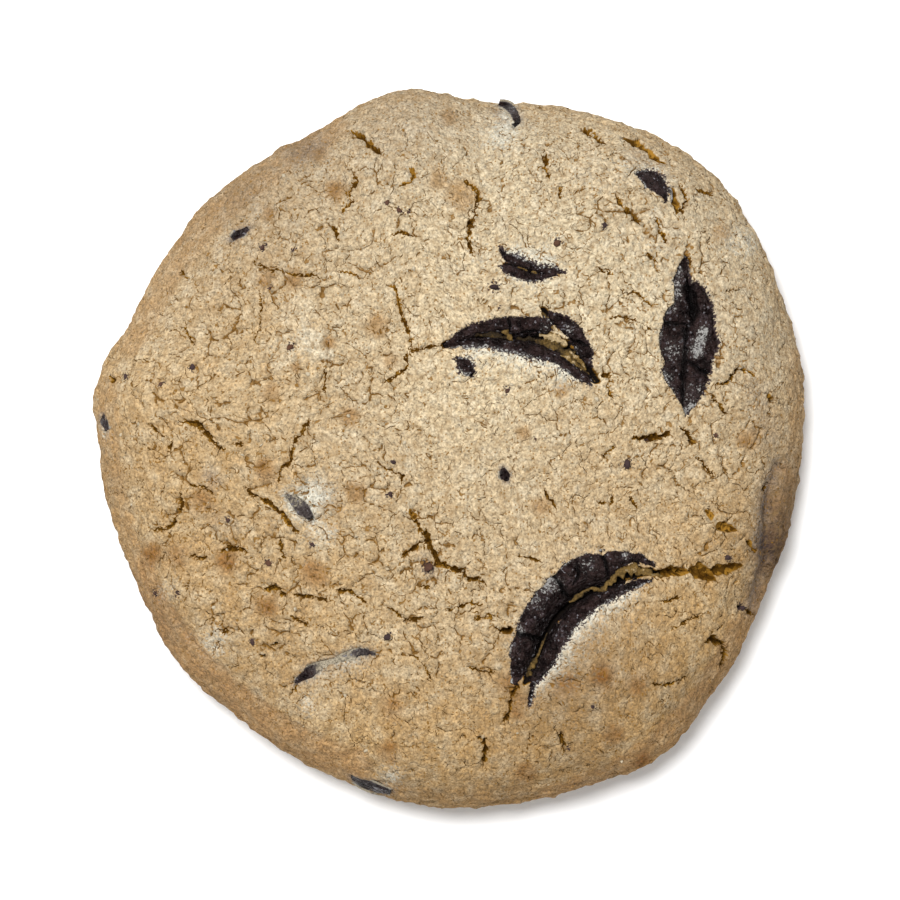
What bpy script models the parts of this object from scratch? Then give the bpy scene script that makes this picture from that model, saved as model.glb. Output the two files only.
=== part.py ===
"""Chocolate chip cookie: one thick baked disc of dough, with broken chocolate set in pockets of its crust.

Metres, +Z up. The origin is on the surface that the cookie lies on, under the middle of its outline.
The dough is a ball pressed into an uneven disc: a ring of swells bends its outline, a profile gives its
domed top, round shoulder and flat base, and mounds lift the crust over buried chocolate. Every piece of
chocolate is a spindle bent along a route on the crust. Its pocket is the same spindle grown by a gap.
"""

import math

import bmesh
import bpy
import numpy as np
from mathutils import Vector

MM = 0.001

# Outline, seen from above: a circle about a middle that lies off the origin, with swells and dents.
OUTLINE_MIDDLE = (1.0, 0.3)
OUTLINE_RADIUS = 35.3
OUTLINE_SWELLS = (  # direction in degrees from +X, spread in degrees, height in mm
    (48, 15, 2.2),
    (84, 4, -0.6),
    (101, 6, 1.0),
    (115, 4, -0.3),
    (171, 6, 1.8),
    (186, 5, 0.6),
    (213, 7, 0.3),
    (267, 10, 1.15),
    (284, 6, 0.5),
    (302, 8, 2.0),
    (335, 6, -1.2),
    (353, 9, -1.15),
)

# Profile from the middle of the top, over the shoulder, to the edge of the flat base: share of the outline
# radius, and height in mm.
PROFILE = (
    (0.00, 15.6),
    (0.20, 15.5),
    (0.40, 15.2),
    (0.58, 14.6),
    (0.74, 13.5),
    (0.87, 11.6),
    (0.955, 8.6),
    (1.00, 5.2),
    (0.985, 2.0),
    (0.93, 0.0),
)
TOP_STRETCHES = 7  # profile stretches from the middle of the top to the widest place
RINGS_PER_STRETCH = 3
BASE_RINGS = 2
DOUGH_SEGMENTS = 60

# Mounds on the crust: x, y, spread and height in mm.
MOUNDS = (
    (6.0, 2.0, 6.5, 0.7),
    (19.0, -20.5, 6.5, 0.9),
    (29.0, 9.5, 3.5, 0.5),
    (-15.0, -7.5, 5.0, 0.4),
    (-10.5, -23.5, 4.5, 0.6),
    (-3.0, 28.5, 5.0, 0.5),
    (-16.5, 11.5, 2.6, 0.3),
    (9.5, 25.0, 4.0, 0.35),
)

POCKET_GAP = 0.3  # between a piece of chocolate and the dough round it
POCKET_RISE = 1.6  # how far a pocket's cutter stands above the crust, so that it always opens

# Chocolate: route on the crust as x, y in mm, half the width, depth below the crust, and how pointed
# its ends are (1 is an ellipse, 2 a sharp lens).
CHOCOLATE = {
    "chunk_arch_left": (((0.2, 10.9), (2.8, 12.2), (5.8, 12.6), (9.3, 12.7)), 0.95, 2.0, 1.2),
    "chunk_arch_right": (((10.4, 13.0), (12.5, 11.6), (13.7, 9.7), (14.1, 7.6)), 0.8, 2.0, 1.1),
    "chunk_arch_lower": (((1.4, 10.2), (5.0, 10.3), (9.4, 9.5), (13.7, 6.6)), 0.55, 2.0, 1.0),
    "chunk_small_upper": (((4.9, 20.2), (6.8, 19.1), (9.0, 18.3), (11.5, 17.8)), 0.6, 1.5, 1.0),
    "chunk_small_lower": (((5.0, 18.1), (6.6, 17.6), (8.3, 17.2), (10.5, 17.3)), 0.42, 1.5, 1.0),
    "chunk_lens": (((23.5, 19.3), (24.0, 14.5), (23.9, 9.5), (23.9, 3.3)), 3.2, 3.0, 1.5),
    "chunk_crescent_upper": (
        ((6.7, -22.9), (8.0, -18.0), (12.8, -12.2), (17.0, -10.9), (20.6, -11.5)),
        1.4,
        2.8,
        1.0,
    ),
    "chunk_crescent_lower": (
        ((20.5, -13.2), (16.0, -14.4), (11.6, -17.5), (9.4, -21.2), (8.1, -25.2)),
        0.62,
        2.2,
        1.0,
    ),
    "chunk_buried": (((-15.4, -22.7), (-12.4, -21.6), (-7.6, -20.2)), 0.85, 1.8, 1.0),
    "chip_corner": (((19.1, 28.2), (20.6, 27.4), (21.9, 25.2)), 0.85, 1.6, 1.1),
    "chip_top_edge": (((5.5, 34.3), (6.4, 33.6), (7.1, 32.7)), 0.4, 1.2, 1.0),
    "chip_bottom_edge": (((-9.7, -32.8), (-7.7, -33.6), (-5.9, -34.0)), 0.5, 1.2, 1.0),
    "chip_left_edge": (((-34.4, 3.5), (-34.3, 2.8), (-33.9, 2.0)), 0.45, 1.1, 1.0),
    "chip_left": (((-15.9, -4.2), (-14.8, -5.5), (-13.8, -6.9)), 0.6, 1.4, 1.0),
    "chip_dot": (((0.7, 9.0), (1.8, 8.3), (2.6, 7.5)), 0.8, 1.4, 0.9),
    "fleck_upper_left": (((-21.8, 21.2), (-21.0, 21.8), (-20.2, 22.3)), 0.5, 1.1, 0.9),
    "fleck_centre": (((5.4, -1.9), (5.6, -2.5), (5.7, -3.1)), 0.55, 1.1, 0.9),
}
CHOCOLATE_RISE = 0.5  # the crown of each piece over its widest level, which lies this far down
LARGE_PIECE = 5.0  # a piece longer than this gets a finer mesh
LARGE_MESH = (12, 10)  # faces round a spindle and along it
SMALL_MESH = (8, 6)
FISSURE_MESH = (6, 8)

# Fissures in the crust: route, half the width and depth.
FISSURES = {
    "fissure_crescent_to_rim": (((20.2, -12.3), (24.5, -12.1), (29.4, -11.7)), 0.4, 1.8),
    "fissure_corner": (((17.7, 31.4), (19.2, 30.5), (21.4, 29.0)), 0.3, 1.0),
    "fissure_by_small_chunk": (((1.6, 26.9), (2.9, 24.8), (2.1, 22.3), (2.4, 19.4)), 0.25, 1.0),
    "fissure_left": (((-27.0, 3.0), (-24.4, 1.7), (-22.2, -0.2)), 0.25, 1.0),
    "fissure_left_lower": (((-20.4, -3.7), (-17.1, -5.9), (-15.0, -8.4)), 0.25, 1.0),
    "fissure_left_inner": (((-13.9, 3.0), (-15.7, 0.0), (-17.0, -3.0)), 0.2, 0.9),
    "fissure_middle": (((-3.8, -5.9), (-1.6, -10.0), (3.1, -12.9)), 0.25, 1.0),
    "fissure_top": (((-10.0, 31.6), (-8.6, 31.0), (-6.8, 29.6)), 0.35, 0.9),
    "fissure_upper_right": (((16.5, 25.6), (17.8, 24.0), (19.5, 22.5)), 0.25, 0.9),
    "fissure_below_crescent": (((6.7, -23.2), (6.3, -25.3), (5.2, -27.3)), 0.2, 1.0),
    "fissure_below_lens": (((18.0, 1.2), (20.5, 1.2), (22.9, 1.9)), 0.25, 0.9),
    "fissure_right_rim": (((26.0, -19.5), (27.6, -20.2), (27.3, -22.0)), 0.25, 0.9),
}

# The long split down the crown of the lens-shaped chunk.
LENS_SPLIT = (((24.0, 17.5), (23.7, 11.5), (23.6, 5.0)), 0.3, 0.9)

COLOURS = {  # base colour, roughness
    "dough": ((0.56, 0.41, 0.24, 1.0), 0.85),
    "chocolate": ((0.030, 0.019, 0.018, 1.0), 0.45),
}


def clear_scene():
    for obj in list(bpy.data.objects):
        bpy.data.objects.remove(obj)


def new_collection(name):
    collection = bpy.data.collections.new(name)
    bpy.context.scene.collection.children.link(collection)
    return collection


def food_material(name):
    colour, roughness = COLOURS[name]
    material = bpy.data.materials.new(name)
    material.use_nodes = True
    shader = material.node_tree.nodes["Principled BSDF"]
    shader.inputs["Base Color"].default_value = colour
    shader.inputs["Roughness"].default_value = roughness
    shader.inputs["Metallic"].default_value = 0.0
    return material


def smooth_curve(points, share):
    """The point at share, from 0 to 1, along a Catmull-Rom curve through points, which it may overrun."""
    stretches = len(points) - 1
    place = share * stretches
    first = min(max(math.floor(place), 0), stretches - 1)
    t = place - first
    last = len(points) - 1
    before = np.array(points[max(first - 1, 0)], float)
    start = np.array(points[first], float)
    end = np.array(points[first + 1], float)
    after = np.array(points[min(first + 2, last)], float)
    return 0.5 * (
        2 * start
        + (end - before) * t
        + (2 * before - 5 * start + 4 * end - after) * t**2
        + (3 * start - before - 3 * end + after) * t**3
    )


def outline_radius(angle):
    """Distance in mm from the outline's middle to the widest place of the dough, in a direction in radians."""
    radius = OUTLINE_RADIUS
    for direction, spread, height in OUTLINE_SWELLS:
        turn = (math.degrees(angle) - direction + 180) % 360 - 180
        radius += height * math.exp(-0.5 * (turn / spread) ** 2)
    return radius


def profile_point(share):
    """(share of the outline radius, height) at share of the profile, where a share over 1 is on the base."""
    if share < 1:
        across, height = smooth_curve(PROFILE, share)
        return max(across, 0.0), height
    return PROFILE[-1][0] * max(BASE_END - share, 0.0) / (BASE_END - 1), 0.0


def mound_height(x, y):
    return sum(
        height * math.exp(-0.5 * ((x - mx) ** 2 + (y - my) ** 2) / spread**2)
        for mx, my, spread, height in MOUNDS
    )


def dough_point(angle, share):
    """A point of the dough in mm, by its direction and its place on the profile."""
    across, height = profile_point(share)
    radius = across * outline_radius(angle)
    x = OUTLINE_MIDDLE[0] + radius * math.cos(angle)
    y = OUTLINE_MIDDLE[1] + radius * math.sin(angle)
    lift = mound_height(x, y) * (height / PROFILE[0][1]) ** 2
    return Vector((x, y, height + lift))


SIDE_RINGS = RINGS_PER_STRETCH * (len(PROFILE) - 1)
BASE_END = 1 + BASE_RINGS / SIDE_RINGS
TOP_SHARES = np.linspace(0, TOP_STRETCHES / (len(PROFILE) - 1), 141)
TOP_ACROSS = np.array([profile_point(share)[0] for share in TOP_SHARES])


def crust_height(x, y):
    """Height in mm of the crust over x, y."""
    dx = x - OUTLINE_MIDDLE[0]
    dy = y - OUTLINE_MIDDLE[1]
    angle = math.atan2(dy, dx)
    across = min(math.hypot(dx, dy) / outline_radius(angle), TOP_ACROSS[-1])
    share = float(np.interp(across, TOP_ACROSS, TOP_SHARES))
    return dough_point(angle, share).z


def crust_frame(route, share):
    """Point on the crust, direction along the route and outward normal, at share of a route."""
    step = 0.2
    x, y = smooth_curve(route, share)
    ahead = smooth_curve(route, share + 0.02) - smooth_curve(route, share - 0.02)
    height = crust_height(x, y)
    rise_x = (crust_height(x + step, y) - crust_height(x - step, y)) / (2 * step)
    rise_y = (crust_height(x, y + step) - crust_height(x, y - step)) / (2 * step)
    normal = Vector((-rise_x, -rise_y, 1.0)).normalized()
    along = Vector((ahead[0], ahead[1], 0.0))
    along = (along - normal * along.dot(normal)).normalized()
    return Vector((x, y, height)), along, normal


def route_length(route):
    return sum(math.dist(a, b) for a, b in zip(route, route[1:]))


def stretched(route, extra):
    """The route with its two ends moved out by extra."""
    points = [Vector((x, y)) for x, y in route]
    start = points[0] + (points[0] - points[1]).normalized() * extra
    end = points[-1] + (points[-1] - points[-2]).normalized() * extra
    return [tuple(start), *[tuple(p) for p in points[1:-1]], tuple(end)]


def chocolate_mesh_size(route):
    return LARGE_MESH if route_length(route) > LARGE_PIECE else SMALL_MESH


def spindle_mesh(name, route, size, half_width, rise, depth, pointed, sunk):
    """A ball of size faces bent along a route on the crust. Its widest level lies sunk below the crust,
    with a crown of rise above that level and a belly of depth below it."""
    around, lengthwise = size
    shape = bmesh.new()
    bmesh.ops.create_uvsphere(shape, u_segments=around, v_segments=lengthwise, radius=1.0)
    for vertex in shape.verts:
        side, up, forward = vertex.co
        girth = math.hypot(side, up)
        taper = girth**pointed / girth if girth > 1e-6 else 0.0
        point, along, normal = crust_frame(route, 0.5 * (1.0 + forward))
        sideways = normal.cross(along)
        high = up * taper * (rise if up > 0 else depth) - sunk
        vertex.co = (point + sideways * (side * taper * half_width) + normal * high) * MM
    mesh = bpy.data.meshes.new(name)
    shape.to_mesh(mesh)
    shape.free()
    return mesh


def add_object(name, mesh, collection, material=None):
    obj = bpy.data.objects.new(name, mesh)
    collection.objects.link(obj)
    if material is not None:
        mesh.materials.append(material)
        mesh.shade_smooth()
        mesh.set_sharp_from_angle(angle=math.radians(50))
    return obj


def add_cutter(name, mesh, collection):
    cutter = add_object(name, mesh, collection)
    cutter.display_type = "WIRE"
    cutter.hide_render = True
    return cutter


def cut(obj, cutter):
    modifier = obj.modifiers.new("cut " + cutter.name, "BOOLEAN")
    modifier.operation = "DIFFERENCE"
    modifier.solver = "EXACT"
    modifier.object = cutter


def make_dough(collection, material):
    """A ball whose rings are laid along the profile and whose segments follow the outline."""
    rings = SIDE_RINGS + BASE_RINGS
    shape = bmesh.new()
    bmesh.ops.create_uvsphere(
        shape, u_segments=DOUGH_SEGMENTS, v_segments=rings, radius=1.0
    )
    for vertex in shape.verts:
        ring = round(math.acos(max(-1.0, min(1.0, vertex.co.z))) / math.pi * rings)
        share = ring / SIDE_RINGS
        angle = math.atan2(vertex.co.y, vertex.co.x)
        vertex.co = dough_point(angle, share) * MM
    mesh = bpy.data.meshes.new("dough")
    shape.to_mesh(mesh)
    shape.free()
    return add_object("dough", mesh, collection, material)


def make_chocolate(dough, parts, cutters, material):
    for name, (route, half_width, depth, pointed) in CHOCOLATE.items():
        size = chocolate_mesh_size(route)
        mesh = spindle_mesh(
            name, route, size, half_width, CHOCOLATE_RISE, depth, pointed, CHOCOLATE_RISE
        )
        add_object(name, mesh, parts, material)
        pocket = spindle_mesh(
            name + " pocket",
            stretched(route, 2 * POCKET_GAP),
            size,
            half_width + POCKET_GAP,
            CHOCOLATE_RISE + POCKET_RISE,
            depth + POCKET_GAP,
            pointed,
            CHOCOLATE_RISE,
        )
        cut(dough, add_cutter(name + " pocket", pocket, cutters))


def make_fissures(dough, cutters):
    for name, (route, half_width, depth) in FISSURES.items():
        mesh = spindle_mesh(name, route, FISSURE_MESH, half_width, POCKET_RISE, depth, 1.0, 0.0)
        cut(dough, add_cutter(name, mesh, cutters))


def split_lens(cutters):
    route, half_width, depth = LENS_SPLIT
    mesh = spindle_mesh("lens split", route, FISSURE_MESH, half_width, POCKET_RISE, depth, 1.0, 0.0)
    cut(bpy.data.objects["chunk_lens"], add_cutter("lens split", mesh, cutters))


def main():
    clear_scene()
    parts = new_collection("chocolate chip cookie")
    cutters = new_collection("cutters")
    dough = make_dough(parts, food_material("dough"))
    make_chocolate(dough, parts, cutters, food_material("chocolate"))
    make_fissures(dough, cutters)
    split_lens(cutters)


main()
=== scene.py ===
import math
from itertools import product

import bmesh
import bpy
import numpy as np
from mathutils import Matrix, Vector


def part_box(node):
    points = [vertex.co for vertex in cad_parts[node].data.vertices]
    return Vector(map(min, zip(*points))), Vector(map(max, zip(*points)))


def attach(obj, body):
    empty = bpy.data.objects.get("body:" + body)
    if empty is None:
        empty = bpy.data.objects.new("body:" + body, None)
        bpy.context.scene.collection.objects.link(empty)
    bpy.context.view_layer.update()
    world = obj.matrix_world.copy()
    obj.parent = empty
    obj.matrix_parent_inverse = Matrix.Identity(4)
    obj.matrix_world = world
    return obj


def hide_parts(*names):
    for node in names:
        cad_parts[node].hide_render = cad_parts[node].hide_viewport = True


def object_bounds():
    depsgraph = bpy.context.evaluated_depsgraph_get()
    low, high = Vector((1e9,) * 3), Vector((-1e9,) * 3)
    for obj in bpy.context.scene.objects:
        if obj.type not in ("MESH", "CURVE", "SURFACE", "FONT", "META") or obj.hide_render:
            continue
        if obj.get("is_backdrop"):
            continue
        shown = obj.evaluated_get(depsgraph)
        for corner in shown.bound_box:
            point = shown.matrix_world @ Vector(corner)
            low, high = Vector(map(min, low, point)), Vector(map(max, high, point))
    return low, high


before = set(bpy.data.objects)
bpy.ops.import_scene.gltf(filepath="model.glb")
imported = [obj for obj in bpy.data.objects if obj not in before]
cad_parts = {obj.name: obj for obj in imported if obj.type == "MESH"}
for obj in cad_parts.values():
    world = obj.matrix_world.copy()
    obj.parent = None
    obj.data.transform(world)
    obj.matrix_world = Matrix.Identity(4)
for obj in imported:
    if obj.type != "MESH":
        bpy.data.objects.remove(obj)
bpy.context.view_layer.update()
mm = 0.001

# View

view = {"lens": 400.0, "sensor": 36.0, "height": 1.015, "middle": (0.0001, 0.0)}

cameraData = bpy.data.cameras.new("camera")
cameraData.lens = view["lens"]
cameraData.sensor_width = view["sensor"]
cameraData.clip_start = 0.05
cameraData.clip_end = 5.0
camera = bpy.data.objects.new("camera", cameraData)
camera.location = (*view["middle"], view["height"])  # looks straight down, +Y up in the picture
bpy.context.scene.collection.objects.link(camera)
bpy.context.scene.camera = camera
bpy.context.scene.view_settings.view_transform = "Standard"
print("view made")


# Small tools for numbers


def smoothStep(low, high, values):
    part = np.clip((values - low) / (high - low), 0.0, 1.0)
    return part * part * (3 - 2 * part)


def latticeNoise(points, size, seed):  # smooth noise from about -1 to 1, with bumps as wide as size
    place = points / size + 13.7 * seed
    cell = np.floor(place).astype(np.int64)
    part = place - cell
    ease = part * part * part * (part * (part * 6 - 15) + 10)
    total = np.zeros(len(points))
    for corner in product((0, 1), repeat=3):
        key = np.full(len(points), seed * 668265263 % 2147483647, np.int64)
        weight = np.ones(len(points))
        for axis, prime in enumerate((73856093, 19349663, 83492791)):
            key ^= (cell[:, axis] + corner[axis]) * prime
            weight *= ease[:, axis] if corner[axis] else 1 - ease[:, axis]
        key = (key ^ (key >> 13)) * 1274126177 & 0x7FFFFFFF
        key ^= key >> 15
        slope = 0.0
        for axis in range(3):
            lean = ((key >> (10 * axis)) & 1023) / 511.5 - 1
            slope = slope + lean * (part[:, axis] - corner[axis])
        total += weight * slope
    return 1.6 * total


def planNoise(plan, size, seed):
    return latticeNoise(np.column_stack([plan, np.full(len(plan), 0.37 * size)]), size, seed)


def smoothCurve(points, shares):  # a Catmull-Rom curve through points, read at shares from 0 to 1
    points = np.asarray(points, float)
    last = len(points) - 1
    place = np.asarray(shares, float) * last
    first = np.clip(np.floor(place).astype(int), 0, last - 1)
    t = (place - first)[..., None]
    before, start = points[np.maximum(first - 1, 0)], points[first]
    end, after = points[first + 1], points[np.minimum(first + 2, last)]
    return 0.5 * (
        2 * start
        + (end - before) * t
        + (2 * before - 5 * start + 4 * end - after) * t**2
        + (3 * start - before - 3 * end + after) * t**3
    )


def nearRoute(plan, route):  # distance to a route, share of its length and side (+1 is left of it)
    points = np.asarray(route, float)[:, :2]
    steps = np.diff(points, axis=0)
    lengths = np.hypot(steps[:, 0], steps[:, 1])
    passed = np.concatenate([[0.0], np.cumsum(lengths)])
    best = np.full(len(plan), 1e9)
    share = np.zeros(len(plan))
    side = np.ones(len(plan))
    for start, step, length, before in zip(points, steps, lengths, passed):
        away = plan - start
        t = np.clip(away @ step / length**2, 0, 1)
        off = away - t[:, None] * step
        distance = np.hypot(off[:, 0], off[:, 1])
        closer = distance < best
        best[closer] = distance[closer]
        share[closer] = ((before + t * length) / passed[-1])[closer]
        side[closer] = np.where(step[0] * off[:, 1] > step[1] * off[:, 0], 1.0, -1.0)[closer]
    return best, share, side


def nearby(plan, route, margin):  # indices of the points of plan within margin of a route's box
    points = np.asarray(route, float)[:, :2]
    low, high = points.min(axis=0) - margin, points.max(axis=0) + margin
    inside = (plan[:, 0] > low[0]) & (plan[:, 0] < high[0])
    inside &= (plan[:, 1] > low[1]) & (plan[:, 1] < high[1])
    return np.nonzero(inside)[0]


def blobSum(plan, blobs):  # blobs are x, y, spread and height
    total = np.zeros(len(plan))
    for x, y, spread, height in blobs:
        total += height * np.exp(-0.5 * ((plan[:, 0] - x) ** 2 + (plan[:, 1] - y) ** 2) / spread**2)
    return total


# The dough's smooth shape, in millimetres

doughLow, doughHigh = [np.array(corner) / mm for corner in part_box("dough")]
doughSize = doughHigh - doughLow
doughMiddle = np.array([*(doughLow + doughSize / 2)[:2], doughLow[2]])  # on the floor; all places start here

dough = {
    "middle": (1.0, 0.3),  # of the outline
    "radius": 0.987,  # share of half the width
    "height": 0.96,  # share of the whole height, without the mounds
    "swells": [  # direction in degrees, spread in degrees, height
        (48, 15, 2.2), (84, 4, -0.6), (101, 6, 1.0), (115, 4, -0.3), (171, 6, 1.8), (186, 5, 0.6),
        (213, 7, 0.3), (267, 10, 1.15), (284, 6, 0.5), (302, 8, 2.0), (335, 6, -1.2), (353, 9, -1.15),
    ],
    "profile": [  # share of the radius and of the height, from the top's middle to the base's edge
        (0.0, 1.0), (0.2, 0.9936), (0.4, 0.9744), (0.58, 0.9359), (0.74, 0.8654), (0.87, 0.7436),
        (0.955, 0.5513), (1.0, 0.3333), (0.985, 0.1282), (0.93, 0.0),
    ],
    "widest": 7,  # stretches of the profile above the widest place
    "mounds": [  # x, y, spread, height
        (6.0, 2.0, 6.5, 0.7), (19.0, -20.5, 6.5, 0.9), (29.0, 9.5, 3.5, 0.5), (-15.0, -7.5, 5.0, 0.4),
        (-10.5, -23.5, 4.5, 0.6), (-3.0, 28.5, 5.0, 0.5), (-16.5, 11.5, 2.6, 0.3), (9.5, 25.0, 4.0, 0.35),
    ],
    "relief": [(11.0, 0.25), (5.0, 0.2), (2.4, 0.1)],  # width and height of the lumps all over
    "ragged": [(1.6, 0.2), (0.7, 0.12)],  # more of the same at the rim
    "subdivisions": 9,
    "wallShare": 0.72,  # share of the ball that makes the top and the side wall
    "triangles": 192000,
}

profileShares = np.linspace(0, 1, 600)
doughRadius = dough["radius"] * doughSize[0] / 2
doughTop = dough["height"] * doughSize[2]
profileLine = smoothCurve(dough["profile"], profileShares) * (1, doughTop)
profileSteps = np.diff(profileLine, axis=0) * (doughRadius, 1)
profileRun = np.concatenate([[0], np.cumsum(np.hypot(*profileSteps.T))])
topCount = int(600 * dough["widest"] / (len(dough["profile"]) - 1))


def outlineRadius(angle):
    radius = np.full(np.shape(angle), doughRadius)
    for direction, spread, height in dough["swells"]:
        turn = (np.degrees(angle) - direction + 180) % 360 - 180
        radius += height * np.exp(-0.5 * (turn / spread) ** 2)
    return radius


def doughPoints(angle, across, height):  # places by direction, share of the radius and bare height
    radius = across * outlineRadius(angle)
    plan = np.column_stack([np.cos(angle), np.sin(angle)]) * radius[:, None] + dough["middle"]
    lift = blobSum(plan, dough["mounds"]) * (height / doughTop) ** 2
    return np.column_stack([plan, height + lift])


def relief(points):  # how far the lumps stand out of the smooth shape, nothing on the base
    total = np.zeros(len(points))
    for seed, (size, height) in enumerate(dough["relief"]):
        total += height * latticeNoise(points, size, 11 + seed)
    for seed, (size, height) in enumerate(dough["ragged"]):
        total += height * latticeNoise(points, size, 17 + seed) * smoothStep(12.5, 9.0, points[:, 2])
    return total * smoothStep(0.0, 2.5, points[:, 2])


def crustHeight(plan, withRelief=True):
    away = plan - np.array(dough["middle"])
    angle = np.arctan2(away[:, 1], away[:, 0])
    across = np.minimum(np.hypot(away[:, 0], away[:, 1]) / outlineRadius(angle), 0.999)
    height = np.interp(across, profileLine[:topCount, 0], profileLine[:topCount, 1])
    points = doughPoints(angle, across, height)
    return points[:, 2] + (relief(points) if withRelief else 0.0)


# Chocolate: route across the crust as x, y and half the width, in millimetres from each node's middle

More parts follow.
